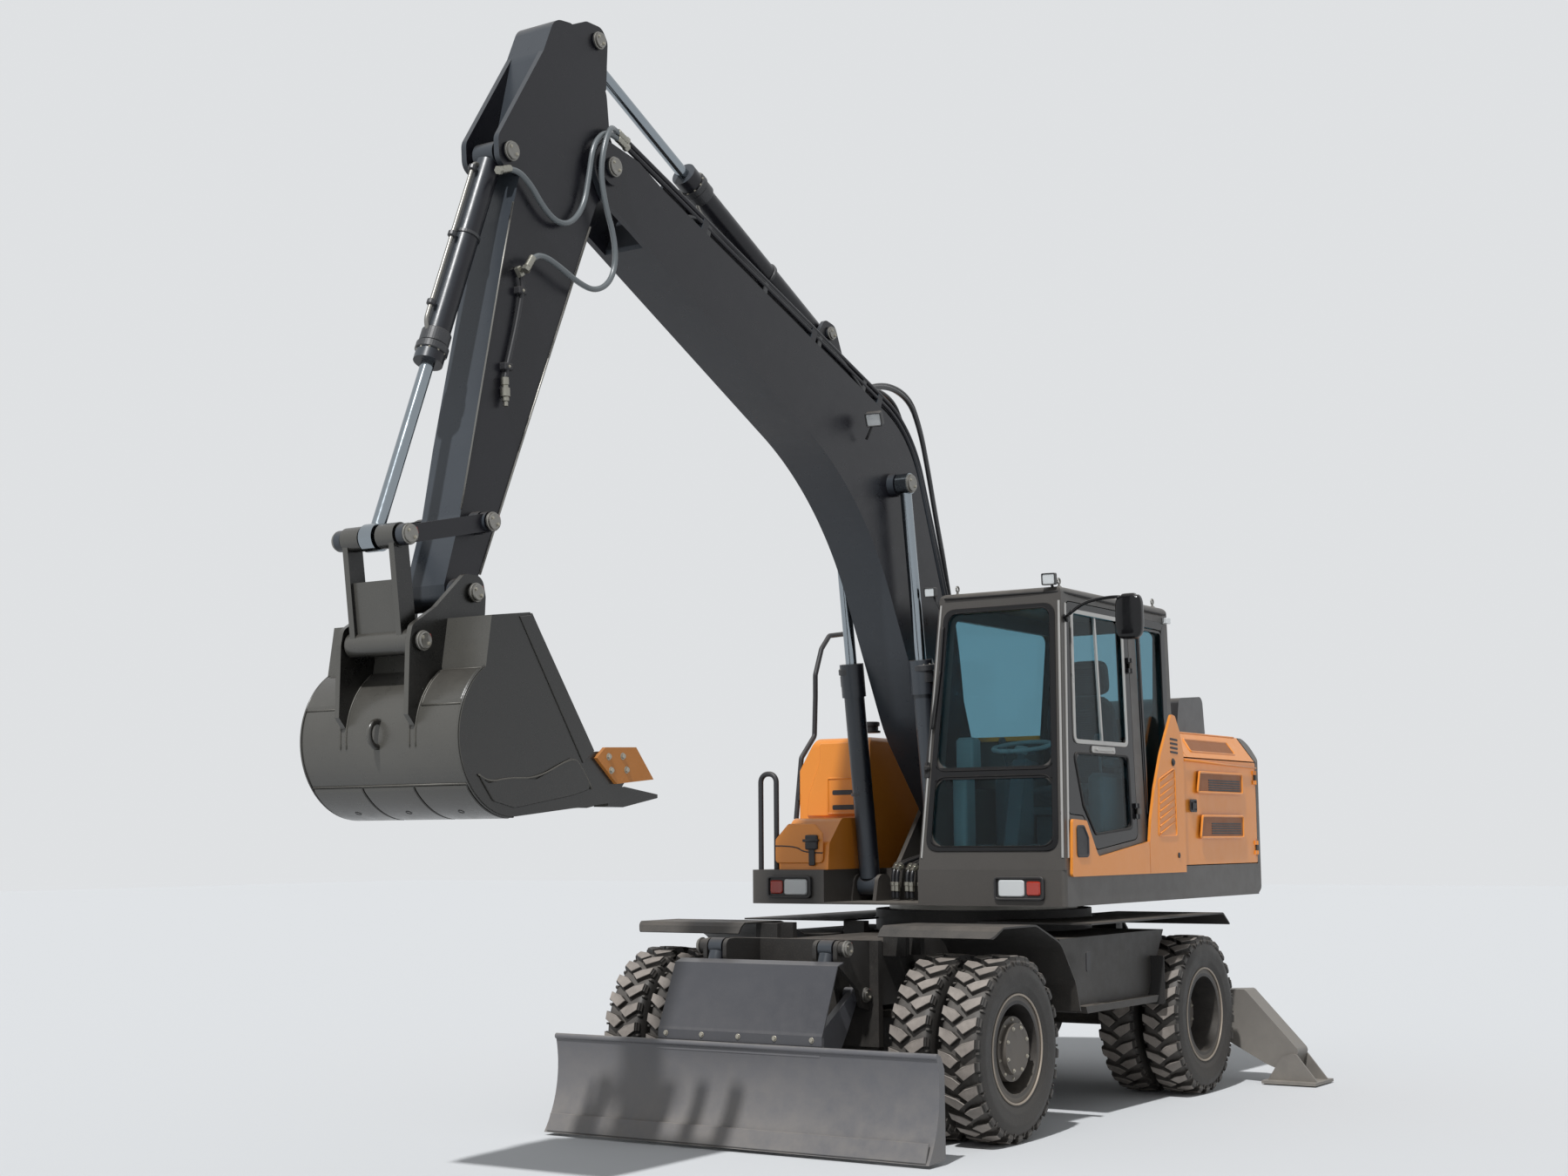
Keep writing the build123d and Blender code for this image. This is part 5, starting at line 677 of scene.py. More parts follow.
def rounded(outline, radius, steps=5):
    """Outline with its corners rounded."""
    if not radius:
        return outline
    result = []
    for i, corner in enumerate(outline):
        here = Vector(corner)
        before, after = Vector(outline[i - 1]) - here, Vector(outline[(i + 1) % len(outline)]) - here
        reach = min(radius / math.tan(before.angle(after) / 2), 0.48 * before.length, 0.48 * after.length)
        a, b = here + before.normalized() * reach, here + after.normalized() * reach
        for t in (k / steps for k in range(steps + 1)):
            result.append(tuple((1 - t) ** 2 * a + 2 * t * (1 - t) * here + t ** 2 * b))
    return result


def inset(outline, gap):
    """Outline moved inwards by a gap; the outline runs anticlockwise."""
    result = []
    for i, corner in enumerate(outline):
        here = Vector(corner)
        before = (here - Vector(outline[i - 1])).normalized()
        after = (Vector(outline[(i + 1) % len(outline)]) - here).normalized()
        first, second = Vector((-before.y, before.x)), Vector((-after.y, after.x))
        result.append(tuple(here + (first + second) * (gap / max(0.3, 1 + first.dot(second)))))
    return result


def anticlockwise(outline):
    area = sum(a[0] * b[1] - b[0] * a[1] for a, b in zip(outline, outline[1:] + outline[:1]))
    return list(outline) if area > 0 else list(outline)[::-1]


def on_frame(place, point, lift=0.0):
    origin, across, upward = place
    return origin + across * point[0] + upward * point[1] + across.cross(upward) * lift


def slab(outline, place, low, high, chamfer=0.0015, radius=0.0, steps=5):
    """A flat piece with chamfered edges between two heights over a face."""
    outline = anticlockwise(rounded(outline, radius, steps))
    layers = ((outline, low), (outline, high - chamfer), (inset(outline, chamfer), high))
    return skin([[on_frame(place, point, lift) for point in ring] for ring, lift in layers])


def hoop(outline, place, width, low, high, chamfer=0.0015, radius=0.0, steps=5):
    """A closed frame of some width inside an outline, between two heights over a face."""
    outline = anticlockwise(rounded(outline, radius, steps))
    section = ((0, low), (0, high - chamfer), (chamfer, high), (width - chamfer, high),
               (width, high - chamfer), (width, low))
    return skin([[on_frame(place, point, lift) for point in inset(outline, gap)] for gap, lift in section],
                caps=False)


def bent(points, radius, sides=12):
    """A tube along the smooth line of some points."""
    return tube(line_of(points), radius, sides)


def from_side(points, base=0.0, flip=1):
    """Outline on a left face from (x, z) corners, or on a right face with flip -1."""
    return [(-flip * x, z - base) for x, z in points]


def cab_side(*points):
    return from_side(points, CAB_BASE)


def front_window(z0, z1, margin):
    """Outline between two heights that follows the windscreen's edges at a margin."""
    low, high = (((z - CAB_BASE) / 1.7, z - CAB_BASE) for z in (z0, z1))
    return [(0.125 + 0.075 * low[0] + margin, low[1]), (1.110 - 0.08 * low[0] - margin, low[1]),
            (1.110 - 0.08 * high[0] - margin, high[1]), (0.125 + 0.075 * high[0] + margin, high[1])]


LEFT, BACK = (0, 1, 0), (-1, 0, 0)
CAB_FRONT = plane((-0.478, 0, CAB_BASE), LEFT, (-0.1118, 0, 1))
CAB_LEFT = plane((0, 1.110, CAB_BASE), BACK, (0, -0.04706, 1))
black_gloss = weathered("black gloss", "#101012", 0.16, amount=0.05, top=0.1, mottle=0.1, speckle=0.01,
                        bump=0.00005, coat=0.15, coat_rough=0.05, specular=0.3)
silver_trim = weathered("silver trim", "#b4b3b0", 0.32, amount=0.05, top=0.05, bump=0.00005, metallic=0.6)
seal_rubber = weathered("seal rubber", "#1b1b1c", 0.7, amount=0.1, top=0.2, bump=0.0003)
paint_nodes(black_gloss, "cab_door")
new_piece("front_glazing_band", [
    hoop(front_window(1.560, 3.060, 0.040), CAB_FRONT, 0.034, -0.004, 0.009, SEAL_CHAMFER, 0.085, 8),
    # Painted shade: the black slab across the split between the panes stands for the dark cab inside seen
    # through the glass.
    slab(front_window(1.995, 2.070, 0.060), CAB_FRONT, -0.004, 0.006),
    hoop(front_window(2.045, 3.036, 0.066), CAB_FRONT, 0.010, 0.004, 0.012, SEAL_CHAMFER, 0.075, 8),
    hoop(front_window(1.584, 2.018, 0.066), CAB_FRONT, 0.010, 0.004, 0.012, SEAL_CHAMFER, 0.085, 8),
], "turntable", "trim", black_gloss)
quarter = cab_side((-1.678, 1.700), (-1.735, 3.045), (-2.190, 3.045), (-2.075, 1.700))
quarter_pane = cab_side((-1.700, 1.760), (-1.744, 2.985), (-2.125, 2.985), (-2.030, 1.760))
new_piece("rear_pane_band", [
    hoop(quarter, CAB_LEFT, 0.052, -0.004, 0.005, 0.002, 0.05, 6),
    hoop(quarter_pane, CAB_LEFT, 0.016, 0.0, 0.010, SEAL_CHAMFER, 0.05, 6),
], "turntable", "trim", black_gloss)
door_pane = cab_side((-0.700, 2.200), (-0.772, 3.020), (-1.522, 3.020), (-1.478, 2.200))
door_bar = cab_side((-1.100, 2.226), (-1.104, 2.99), (-1.124, 2.99), (-1.120, 2.226))
new_piece("door_window_frame", [
    hoop(door_pane, CAB_LEFT, 0.026, 0.001, 0.009, 0.002, 0.055, 6),
    slab(door_bar, CAB_LEFT, -0.010, 0.004),
], "cab_door", "trim", silver_trim)
low_pane = cab_side((-0.925, 1.650), (-0.778, 1.822), (-0.690, 2.150), (-1.482, 2.150), (-1.466, 1.686))
door_seal = hoop(low_pane, CAB_LEFT, 0.014, 0.0, 0.007, 0.002, 0.05, 6)
new_piece("door_seal", door_seal, "cab_door", "trim", seal_rubber)
handle_back = cab_side((-0.94, 2.150), (-0.94, 2.192), (-1.27, 2.192), (-1.27, 2.150))
handle_grip = cab_side((-0.985, 2.160), (-0.985, 2.182), (-1.20, 2.182), (-1.20, 2.160))
new_piece("door_handle", [
    slab(handle_back, CAB_LEFT, 0.001, 0.012, 0.003, 0.015, 4),
    slab(handle_grip, CAB_LEFT, 0.012, 0.026, 0.004, 0.01, 4),
    lathe([(0.0, 0.012), (0.015, 0.012), (0.018, 0.009)], on_frame(CAB_LEFT, (1.24, 0.721)),
          CAB_LEFT[1].cross(CAB_LEFT[2]), 20),
], "cab_door", "steel", silver_trim)
# Pillar strips and a rubber lip over the door, riveted to the cab's shell.
door_strip = cab_side((-0.520, 1.52), (-0.700, 3.05), (-0.716, 3.05), (-0.536, 1.52))
right_strip = front_window(1.52, 3.09, 0.010)[:1] + [(0.150, 0.07), (0.219, 1.64), (0.207, 1.64)]
left_strip = [(1.085, 0.07), (1.100, 0.07), (1.028, 1.62), (1.013, 1.62)]
new_piece("pillar_strips", [
    slab(door_strip, CAB_LEFT, -0.003, 0.008, 0.003),
    slab(right_strip, CAB_FRONT, -0.003, 0.007, 0.003),
    slab(left_strip, CAB_FRONT, -0.003, 0.007, 0.003),
], "turntable", "steel", silver_trim)
roof_lip = bent(((-0.655, 0.24, 3.118), (-0.655, 0.98, 3.118), (-0.68, 1.040, 3.112), (-1.4, 1.044, 3.100),
                 (-2.20, 1.044, 3.100)), 0.007, 10)
new_piece("roof_lip", roof_lip, "turntable", "trim", seal_rubber)

# ---- Roof fittings ----
# Two work lamps on brackets at the front corners of the roof and one on the boom, four lifting eyes and a
# small side lamp. Black moulded shells with clear lenses, and steel eyes, all bolted on.
EYE_PLATE = ((-0.006, 0.017), (0.004, 0.017), (0.008, 0.012), (0.012, 0.007), (0.022, 0.006))
ROOF_Z, EYE_RING, EYE_Z = 3.15, 0.017, 3.188
lamp_shell = weathered("lamp shell", "#2b2b2c", 0.45, top=0.2, bump=0.0002)
red_lens = lamp_lens.copy()
red_lens.name = "red lens"
red_lens.node_tree.nodes["Principled BSDF"].inputs["Base Color"].default_value = tone("#b5301c")


def work_lamp(name, body, place, way, size, foot):
    """Square lamp with a hood, a lens and a bent bracket down to its foot."""
    place, foot, way = Vector(place), Vector(foot), Vector(way).normalized()
    across = Vector((0, 0, 1)).cross(way).normalized()
    face = (place, across, way.cross(across))
    square = rounded(rect(-size, size, -size * 0.85, size * 0.85), size * 0.25)
    bend = foot.lerp(place - way * 0.04, 0.55) + Vector((0, 0, -0.004))
    new_piece(name, [
        slab([(a * 0.78, b * 0.78) for a, b in square], face, -0.062, -0.03, 0.004),
        slab(square, face, -0.032, 0.0, 0.004),
        hoop(square, face, size * 0.14, -0.001, 0.012, 0.002),
        tube([foot, bend, place - way * 0.045], 0.0085, 10),
    ], body, "trim", lamp_shell)
    lens = slab([(a * 0.86, b * 0.86) for a, b in square], face, -0.001, 0.007, 0.003)
    new_piece(name + "_lens", lens, body, "lamp", lamp_lens)


for name, body, *values in (
    ("roof_lamp_left", "turntable", (-0.640, 0.965, 3.190), (1, 0.15, -0.1), 0.043, (-0.70, 0.965, 3.135)),
    ("roof_lamp_right", "turntable", (-0.625, 0.150, 3.165), (1, 0.1, -0.1), 0.036, (-0.66, 0.205, 3.06)),
    ("boom_lamp", "boom", (-0.120, 0.062, 4.190), (1, 0.2, -0.55), 0.052, (-0.155, -0.014, 4.08)),
):
    work_lamp(name, body, *values)
eyes = []
for x, y in ((-0.76, 0.975), (-2.16, 0.975), (-0.76, 0.275), (-2.16, 0.275)):
    eyes.append(lathe(EYE_PLATE, (x, y, ROOF_Z), (0, 0, 1), 16))
    eyes.append(tube([(x + EYE_RING * math.cos(t), y, EYE_Z + EYE_RING * math.sin(t))
                      for t in (2 * math.pi * k / 20 for k in range(21))], 0.0055, 8))
new_piece("lifting_eyes", eyes, "turntable", "steel", bare_steel)
marker = slab(rect(-0.03, 0.03, -0.02, 0.02), plane((-2.215, 1.047, 3.06), BACK), -0.02, 0.02, 0.004, 0.008)
new_piece("side_lamp", marker, "turntable", "lamp", lamp_lens)

# ---- Wiper ----
# A black painted steel arm with a rubber blade along the right pillar of the windscreen. The arm turns on a
# pivot that is screwed to the cab's shell.
WIPER_PIVOT = (0.163, 0.62)
WIPER_ARM = ((WIPER_PIVOT, 0.018), ((0.172, 0.75), 0.026), ((0.205, 1.05), 0.020), ((0.232, 1.22), 0.019))
WIPER_BLADE = ((0.195, 0.86), (0.222, 1.12), (0.232, 1.28), (0.238, 1.5))
PIVOT_TURNED = ((0.0, 0.020), (0.014, 0.020), (0.022, 0.014), (0.028, 0.014), (0.030, 0.011))
new_piece("wiper", [
    bent([on_frame(CAB_FRONT, point, lift) for point, lift in WIPER_ARM], 0.006, 8),
    bent([on_frame(CAB_FRONT, point, 0.016) for point in WIPER_BLADE], 0.0075, 8),
    lathe(PIVOT_TURNED, on_frame(CAB_FRONT, WIPER_PIVOT), CAB_FRONT[1].cross(CAB_FRONT[2]), 20),
    slab(rect(0.142, 0.178, 0.56, 0.66), CAB_FRONT, -0.003, 0.010, 0.003, 0.012),
], "turntable", "trim", seal_rubber)

# ---- Deck lamps ----
# A clear and a red plastic lens side by side in a dark moulded housing with a raised rim. One is screwed to
# each front corner of the deck.
DECK_FACE = plane((-0.478, 0, 0), LEFT)
housings, clears, reds = [], [], []
for centre, inner in ((0.812, -1), (-0.812, 1)):
    shape = rounded(rect(centre - 0.165, centre + 0.165, 1.272, 1.412), 0.03)
    housings += [hoop(shape, DECK_FACE, 0.014, -0.004, 0.022, 0.003),
                 slab(inset(anticlockwise(shape), 0.008), DECK_FACE, -0.003, 0.008, 0.002)]
    ends = sorted((centre + inner * 0.135, centre - inner * 0.035))
    clears.append(slab(rect(*ends, 1.293, 1.392), DECK_FACE, 0.006, 0.021, 0.006, 0.02))
    ends = sorted((centre - inner * 0.050, centre - inner * 0.140))
    reds.append(slab(rect(*ends, 1.300, 1.384), DECK_FACE, 0.006, 0.020, 0.006, 0.016))
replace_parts(new_piece("lamp_housings", housings, "turntable", "trim", lamp_shell), "head_lamps")
new_piece("clear_lenses", clears, "turntable", "lamp", lamp_lens)
new_piece("red_lenses", reds, "turntable", "lamp", red_lens)

# ---- Cab interior ----
# A stitched cloth seat on a plastic base, two consoles with levers, a steering column with its wheel, pedals
# and a rubber mat. They stand on the cab's floor, screwed through the mat.
SEAT_Y = 0.6175
FLOOR_TOP = 1.506
KNOB = ((0, 0.012), (0.01, 0.022), (0.06, 0.026), (0.10, 0.022), (0.115, 0.012))
BOSS = ((0.0, 0.03), (0.02, 0.045), (0.04, 0.045), (0.05, 0.036))
WHEEL_CENTRE, WHEEL_RADIUS, WHEEL_LEAN = Vector((-0.925, SEAT_Y, 2.20)), 0.178, Matrix.Rotation(0.20, 3, "Y")


def cushion(centre, half, tilt=0.0, grooves=(), crown=0.12, power=4.5, cuts=14):
    """A crowned, rounded cushion with stitched grooves across it; grooves are places from -1 to 1 along x."""
    build = bmesh.new()
    bmesh.ops.create_cube(build, size=2.0)
    bmesh.ops.subdivide_edges(build, edges=build.edges, cuts=cuts, use_grid_fill=True)
    lean = Matrix.Rotation(tilt, 3, "Y")
    for vertex in build.verts:
        x, y, z = vertex.co
        size = (abs(x) ** power + abs(y) ** power + abs(z) ** power) ** (-1 / power)
        x, y, z = x * size, y * size, z * size
        z *= 1 + crown * (1 - x * x) * (1 - y * y) if z > 0 else 1
        dip = sum(math.exp(-((x - g) / 0.05) ** 2) for g in grooves)
        dip += math.exp(-((abs(y) - 0.62) / 0.05) ** 2)
        if z > 0.5:
            z -= 0.09 * dip
        vertex.co = Vector(centre) + lean @ Vector((x * half[0], y * half[1], z * half[2]))
    for face in build.faces:
        face.smooth = True
    return finished(build)


# Woven seat cloth: two crossed waves and a soft sheen.
seat_cloth = weathered("seat cloth", "#34343a", 0.85, amount=0.0, top=0.1, mottle=0.15, bump=0.0002)
cloth_tree = seat_cloth.node_tree
threads = [add_node(cloth_tree, "ShaderNodeTexWave", bands_direction=way) for way in ("X", "Y")]
for wave in threads:
    wave.inputs["Scale"].default_value = 160
    cloth_tree.links.new(place_on(cloth_tree), wave.inputs["Vector"])
bumped(cloth_tree, maths(cloth_tree, "MULTIPLY", *(wave.outputs["Fac"] for wave in threads)), 0.0008)
cloth_tree.nodes["Principled BSDF"].inputs["Sheen Weight"].default_value = 0.3
for label, mesh in (
    ("seat_cushion", cushion((-1.615, SEAT_Y, 1.900), (0.245, 0.245, 0.075), 0.06, (-0.35, 0.05, 0.45))),
    ("seat_back", cushion((-1.815, SEAT_Y, 2.230), (0.330, 0.235, 0.070), -1.40, (-0.5, -0.15, 0.2, 0.55))),
    ("seat_head", cushion((-1.897, SEAT_Y, 2.680), (0.115, 0.140, 0.050), -1.40, (0.0,), cuts=10)),
):
    new_piece(label, mesh, "turntable", "seat_fabric", seat_cloth)
console_plastic = weathered("console plastic", "#6a6c6e", 0.55, amount=0.0, top=0.15, mottle=0.06,
                            bump=0.0003)
pale_plastic = weathered("pale plastic", "#aeb6b4", 0.5, amount=0.0, top=0.1, mottle=0.06, bump=0.0002)


def block(x0, x1, y0, y1, z0, z1, radius=0.02, chamfer=0.01):
    """Box with rounded corners in plan and a chamfered top."""
    return slab(rect(x0, x1, y0, y1), plane((0, 0, 0), (1, 0, 0), LEFT), z0, z1, chamfer, radius, 4)


inside = [
    block(-1.90, -1.36, SEAT_Y - 0.22, SEAT_Y + 0.22, 1.505, 1.60, 0.03),
    block(-1.84, -1.42, SEAT_Y - 0.17, SEAT_Y + 0.17, 1.595, 1.79, 0.04, 0.02),
    block(-1.88, -1.37, SEAT_Y - 0.235, SEAT_Y + 0.235, 1.785, 1.835, 0.05, 0.015),
    block(-1.83, -1.26, SEAT_Y + 0.275, SEAT_Y + 0.375, 1.505, 2.04, 0.03, 0.03),
    block(-1.83, -1.26, SEAT_Y - 0.375, SEAT_Y - 0.275, 1.505, 2.04, 0.03, 0.03),
    block(-1.94, -0.62, 0.235, 1.0, 1.4965, FLOOR_TOP, 0.05, 0.003),
    block(-0.80, -0.64, SEAT_Y - 0.19, SEAT_Y - 0.10, FLOOR_TOP, 1.60, 0.01, 0.02),
    block(-0.80, -0.64, SEAT_Y + 0.10, SEAT_Y + 0.19, FLOOR_TOP, 1.60, 0.01, 0.02),
    slab([(-0.955, 1.50), (-0.70, 1.50), (-0.74, 1.60), (-0.88, 2.13), (-0.975, 2.10)],
         plane((0, SEAT_Y - 0.05, 0), (1, 0, 0)), -0.10, 0.0, 0.012, 0.03),
    tube([(-0.905, SEAT_Y, 2.02), (-0.918, SEAT_Y, 2.16)], 0.026, 14),
    bent([(-0.925, SEAT_Y - 0.17, 2.19), (-0.915, SEAT_Y, 2.155), (-0.925, SEAT_Y + 0.17, 2.19)], 0.012, 10),
    tube([(-0.918, SEAT_Y, 2.16), (-1.085, SEAT_Y, 2.163)], 0.011, 10),
]
for side in (-1, 1):
    y = SEAT_Y + side * 0.325
    lever = line_of([(-1.36, y, 2.03), (-1.355, y, 2.10), (-1.33, y + side * 0.01, 2.17)])
    inside += [tube(lever, 0.009, 10), lathe(KNOB, lever[-1], (0.25, 0, 1), 18),
               cushion((-1.60, y, 2.105), (0.16, 0.042, 0.03), 0.0, (), 0.1, 4.0, 8)]
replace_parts(new_piece("cab_fittings", inside, "turntable", "trim", console_plastic), "cab_interior")
wheel_line = [WHEEL_CENTRE + WHEEL_LEAN @ Vector((WHEEL_RADIUS * math.cos(t), WHEEL_RADIUS * math.sin(t), 0))
              for t in (2 * math.pi * k / 48 for k in range(49))]
new_piece("steering_wheel", [
    tube(wheel_line, 0.0135),
    lathe(BOSS, (-0.915, SEAT_Y, 2.15), (-0.2, 0, 1), 20),
], "turntable", "trim", pale_plastic)
new_piece("instrument_pod", [
    block(-0.86, -0.74, 0.25, 0.37, 2.02, 2.26, 0.02, 0.02),
    block(-0.84, -0.70, 0.24, 0.34, FLOOR_TOP, 2.03, 0.03, 0.02),
], "turntable", "trim", pale_plastic)

# ---- Wing and side door pressings ----
# Orange sheet: raised beads round the louvre recesses, with the recess floors in darker orange as painted
# shade, black slats behind them as painted shade of the louvres' gaps, a rib panel on the wing, and black
# latches. They are pressed in or riveted on.
DOOR_Y, WING_Y = 1.1262, 1.1292
WING_FACE = plane((0, WING_Y, 0), BACK)
SLAT_COUNT, SLAT_DROP, SLAT_PITCH, SLAT_HALF = 5, 0.060, 0.016, 0.005
RECESSES = (
    ((-2.500, 2.075), (-3.275, 2.075), (-3.275, 1.925), (-2.455, 1.925)),
    ((-2.535, 1.785), (-3.275, 1.785), (-3.275, 1.625), (-2.490, 1.625)),
)
LATCH = ((-2.338, 1.885), (-2.445, 1.885), (-2.445, 1.800), (-2.338, 1.800))
HOOD_RECESS = ((-2.50, 0.165), (-3.28, 0.165), (-3.28, 0.045), (-2.47, 0.045))
recess_shade_paint = weathered("dark recess", "#8a4f1c", 0.5, amount=0.2, top=0.2, mottle=0.1, bump=0.0002)


def well(shape, place):
    """The floor of a recess inside its bead, in darker orange as painted shade."""
    return slab(inset(anticlockwise(shape), 0.012), place, -0.002, 0.0015, 0.0005)


hood_beads, hood_wells = [], []
for hand, flip in (("left", 1), ("right", -1)):
    place = plane((0, flip * DOOR_Y, 0), (-flip, 0, 0))
    beads, slats, wells = [], [], []
    for outline in RECESSES:
        shape = rounded(from_side(outline, flip=flip), 0.025, 4)
        beads.append(hoop(shape, place, 0.016, -0.002, 0.009, 0.006))
        wells.append(well(shape, place))
        # Painted shade: the black slats stand for the shaded gaps between the louvre blades.
        ends = sorted((-flip * (outline[0][0] - 0.16), -flip * (outline[1][0] + 0.05)))
        for k in range(SLAT_COUNT):
            z = outline[0][1] - SLAT_DROP - SLAT_PITCH * k
            slats.append(slab(rect(*ends, z - SLAT_HALF, z + SLAT_HALF), place, 0.0, 0.004, 0.001))
    beads.append(tube([(-2.26, flip * 1.1265, 2.142), (-3.55, flip * 1.1265, 2.118)], 0.006, 8))
    latch = rounded(from_side(LATCH, flip=flip), 0.012, 4)
    slats += [slab(latch, place, -0.002, 0.005, 0.002),
              slab(inset(anticlockwise(latch), 0.022), place, 0.004, 0.010, 0.002)]
    door = f"side_door_{hand}"
    new_piece(f"door_beads_{hand}", beads, door, "orange_paint", orange_paint)
    new_piece(f"door_wells_{hand}", wells, door, "orange_paint", recess_shade_paint)
    new_piece(f"door_slats_{hand}", slats, door, "trim", black_trim_and_shade)
    place = plane((0, flip * 1.111, 2.163), (-flip, 0, 0), (0, -flip * 0.126, 0.172))
    shape = rounded(from_side(HOOD_RECESS, flip=flip), 0.025, 4)
    hood_beads.append(hoop(shape, place, 0.014, -0.002, 0.007, 0.005))
    hood_wells.append(well(shape, place))
hood_beads.append(bent([(x, 0.985, 2.336) for x in (-2.40, -3.0, -3.50)], 0.006, 8))
new_piece("hood_beads", hood_beads, "engine_hood", "orange_paint", orange_paint)
new_piece("hood_wells", hood_wells, "engine_hood", "orange_paint", recess_shade_paint)
rib_panel = from_side([(-1.825, 2.010), (-2.090, 2.090), (-2.100, 1.640), (-1.800, 1.640)])
ribs = [hoop(rib_panel, WING_FACE, 0.010, -0.002, 0.006, 0.004, 0.03, 4)]
ribs += [tube([(-1.83, 1.130, z), (-2.07, 1.130, z + 0.075)], 0.006, 8)
         for z in (1.66 + 0.047 * k for k in range(8))]
new_piece("wing_ribs", ribs, "turntable", "orange_paint", orange_paint)
# Painted shade: four black slabs stand for the shaded openings of the louvre slots near the wing's top.
wing_dark = [slab(from_side([(-2.025, z), (-2.145, z - 0.006), (-2.145, z - 0.020), (-2.025, z - 0.014)]),
                  WING_FACE, -0.002, 0.003, 0.001, 0.006, 3) for z in (2.278, 2.250, 2.222, 2.194)]
hatch = from_side([(-0.600, 1.712), (-0.700, 1.712), (-0.762, 1.640), (-0.762, 1.522), (-0.600, 1.522)])
hatch_floor = from_side([(-0.606, 1.704), (-0.696, 1.704), (-0.755, 1.635), (-0.755, 1.530), (-0.606, 1.530)])
wing_dark += [
    lathe([(-0.002, 0.026), (0.003, 0.026), (0.004, 0.018), (0.009, 0.018), (0.011, 0.014)],
          (-2.065, 1.129, 2.120), LEFT, 20),
    lathe([(-0.002, 0.018), (0.004, 0.018), (0.006, 0.013)], (-2.120, 1.129, 1.520), LEFT, 20),
    hoop(hatch, WING_FACE, 0.014, -0.002, 0.007, 0.003, 0.03),
    slab(hatch_floor, WING_FACE, -0.002, 0.002, 0.001, 0.03),
]
new_piece("wing_trim", wing_dark, "turntable", "trim", black_trim_and_shade)

# ---- Tank and toolbox fittings ----
# A pressed panel with two hand slots on the tank's front, a filler neck on top, and a lid line with a rubber
# latch on the toolbox. Painted orange or black, pressed in or screwed on.
TANK_FACE, BOX_FACE = plane((-1.058, 0, 0), LEFT), plane((-0.538, 0, 0), LEFT)
TANK_PANEL = ((-1.050, 1.79), (-0.592, 1.79), (-0.592, 2.275), (-0.945, 2.275), (-0.945, 2.150),
              (-1.035, 1.93))
BOX_PANEL = ((-0.96, 1.49), (-0.60, 1.49), (-0.60, 1.68), (-0.66, 1.74), (-0.86, 1.74), (-0.96, 1.64))
FILLER = ((-0.004, 0.06), (0.01, 0.06), (0.012, 0.045), (0.04, 0.045), (0.042, 0.055), (0.065, 0.055),
          (0.07, 0.048))
LID_LINE = ((-0.96, 1.60), (-0.80, 1.60), (-0.74, 1.555), (-0.60, 1.555))
new_piece("tank_pressings", [
    slab(TANK_PANEL, TANK_FACE, -0.002, 0.012, 0.008, 0.02, 4),
    hoop(rect(-0.885, -0.620, 1.80, 2.045), TANK_FACE, 0.014, 0.010, 0.019, 0.006, 0.02, 4),
    slab(BOX_PANEL, BOX_FACE, -0.002, 0.006, 0.005, 0.03, 4),
], "turntable", "orange_paint", orange_paint)
# Painted shade: the black slabs stand for the shaded hollows of the two hand slots.
slots = [slab(rect(-0.845, -0.66, z - 0.016, z + 0.016), TANK_FACE, 0.008, 0.014, 0.001, 0.012, 3)
         for z in (1.945, 1.848)]
new_piece("tank_black_fittings", slots + [
    slab(rect(-0.722, -0.634, 1.575, 1.668), BOX_FACE, 0.004, 0.026, 0.006, 0.012, 3),
    slab(rect(-0.700, -0.656, 1.475, 1.585), BOX_FACE, 0.004, 0.018, 0.004, 0.01, 3),
    tube([(-0.515, -0.735, 1.632), (-0.515, -0.622, 1.632)], 0.009, 10),
    bent([(-0.531, y, z) for y, z in LID_LINE], 0.004, 8),
    lathe(FILLER, (-1.35, -0.72, 2.35), (0, 0, 1), 28),
], "turntable", "trim", black_trim_and_shade)

# ---- Pins ----
# Turned steel caps on the ends of the pins, with zinc keeper bolts and dabs of red grease. They are pressed
# on and bolted. Each row gives (x, z, ends in y, radius).
PINS = {
    "boom": ((2.342, 5.140, (-0.412, -0.028), 0.046), (0.092, 4.710, (-0.333, -0.107), 0.036)),
    "boom_rods": ((-0.538, 3.850, (-0.515, 0.075), 0.052),),
    "arm": ((2.402, 5.820, (-0.354, -0.086), 0.040), (3.092, 5.030, (-0.354, -0.086), 0.044),
            (3.322, 3.140, (-0.455, 0.015), 0.040)),
    "bucket": ((3.442, 2.790, (-0.462, 0.022), 0.040), (3.792, 2.540, (-0.462, 0.022), 0.040)),
    "guide_links": ((3.862, 3.020, (-0.435, -0.005), 0.042),),
    "chassis": ((0.938, 1.047, (-0.480, 0.480), 0.040), (0.692, 0.785, (-0.447, 0.447), 0.036)),
    "blade": ((1.132, 0.520, (-0.415, 0.415), 0.036),),
}
CAP_TURNED = ((-0.002, 1.16), (0.006, 1.16), (0.0085, 1.10), (0.0085, 1.0), (0.0175, 1.0), (0.0205, 0.86),
              (0.0175, 0.5), (0.0175, 0.3))
red_grease = weathered("red grease", "#8e1f1c", 0.35, amount=0.0, top=0.05, mottle=0.2, bump=0.0004)
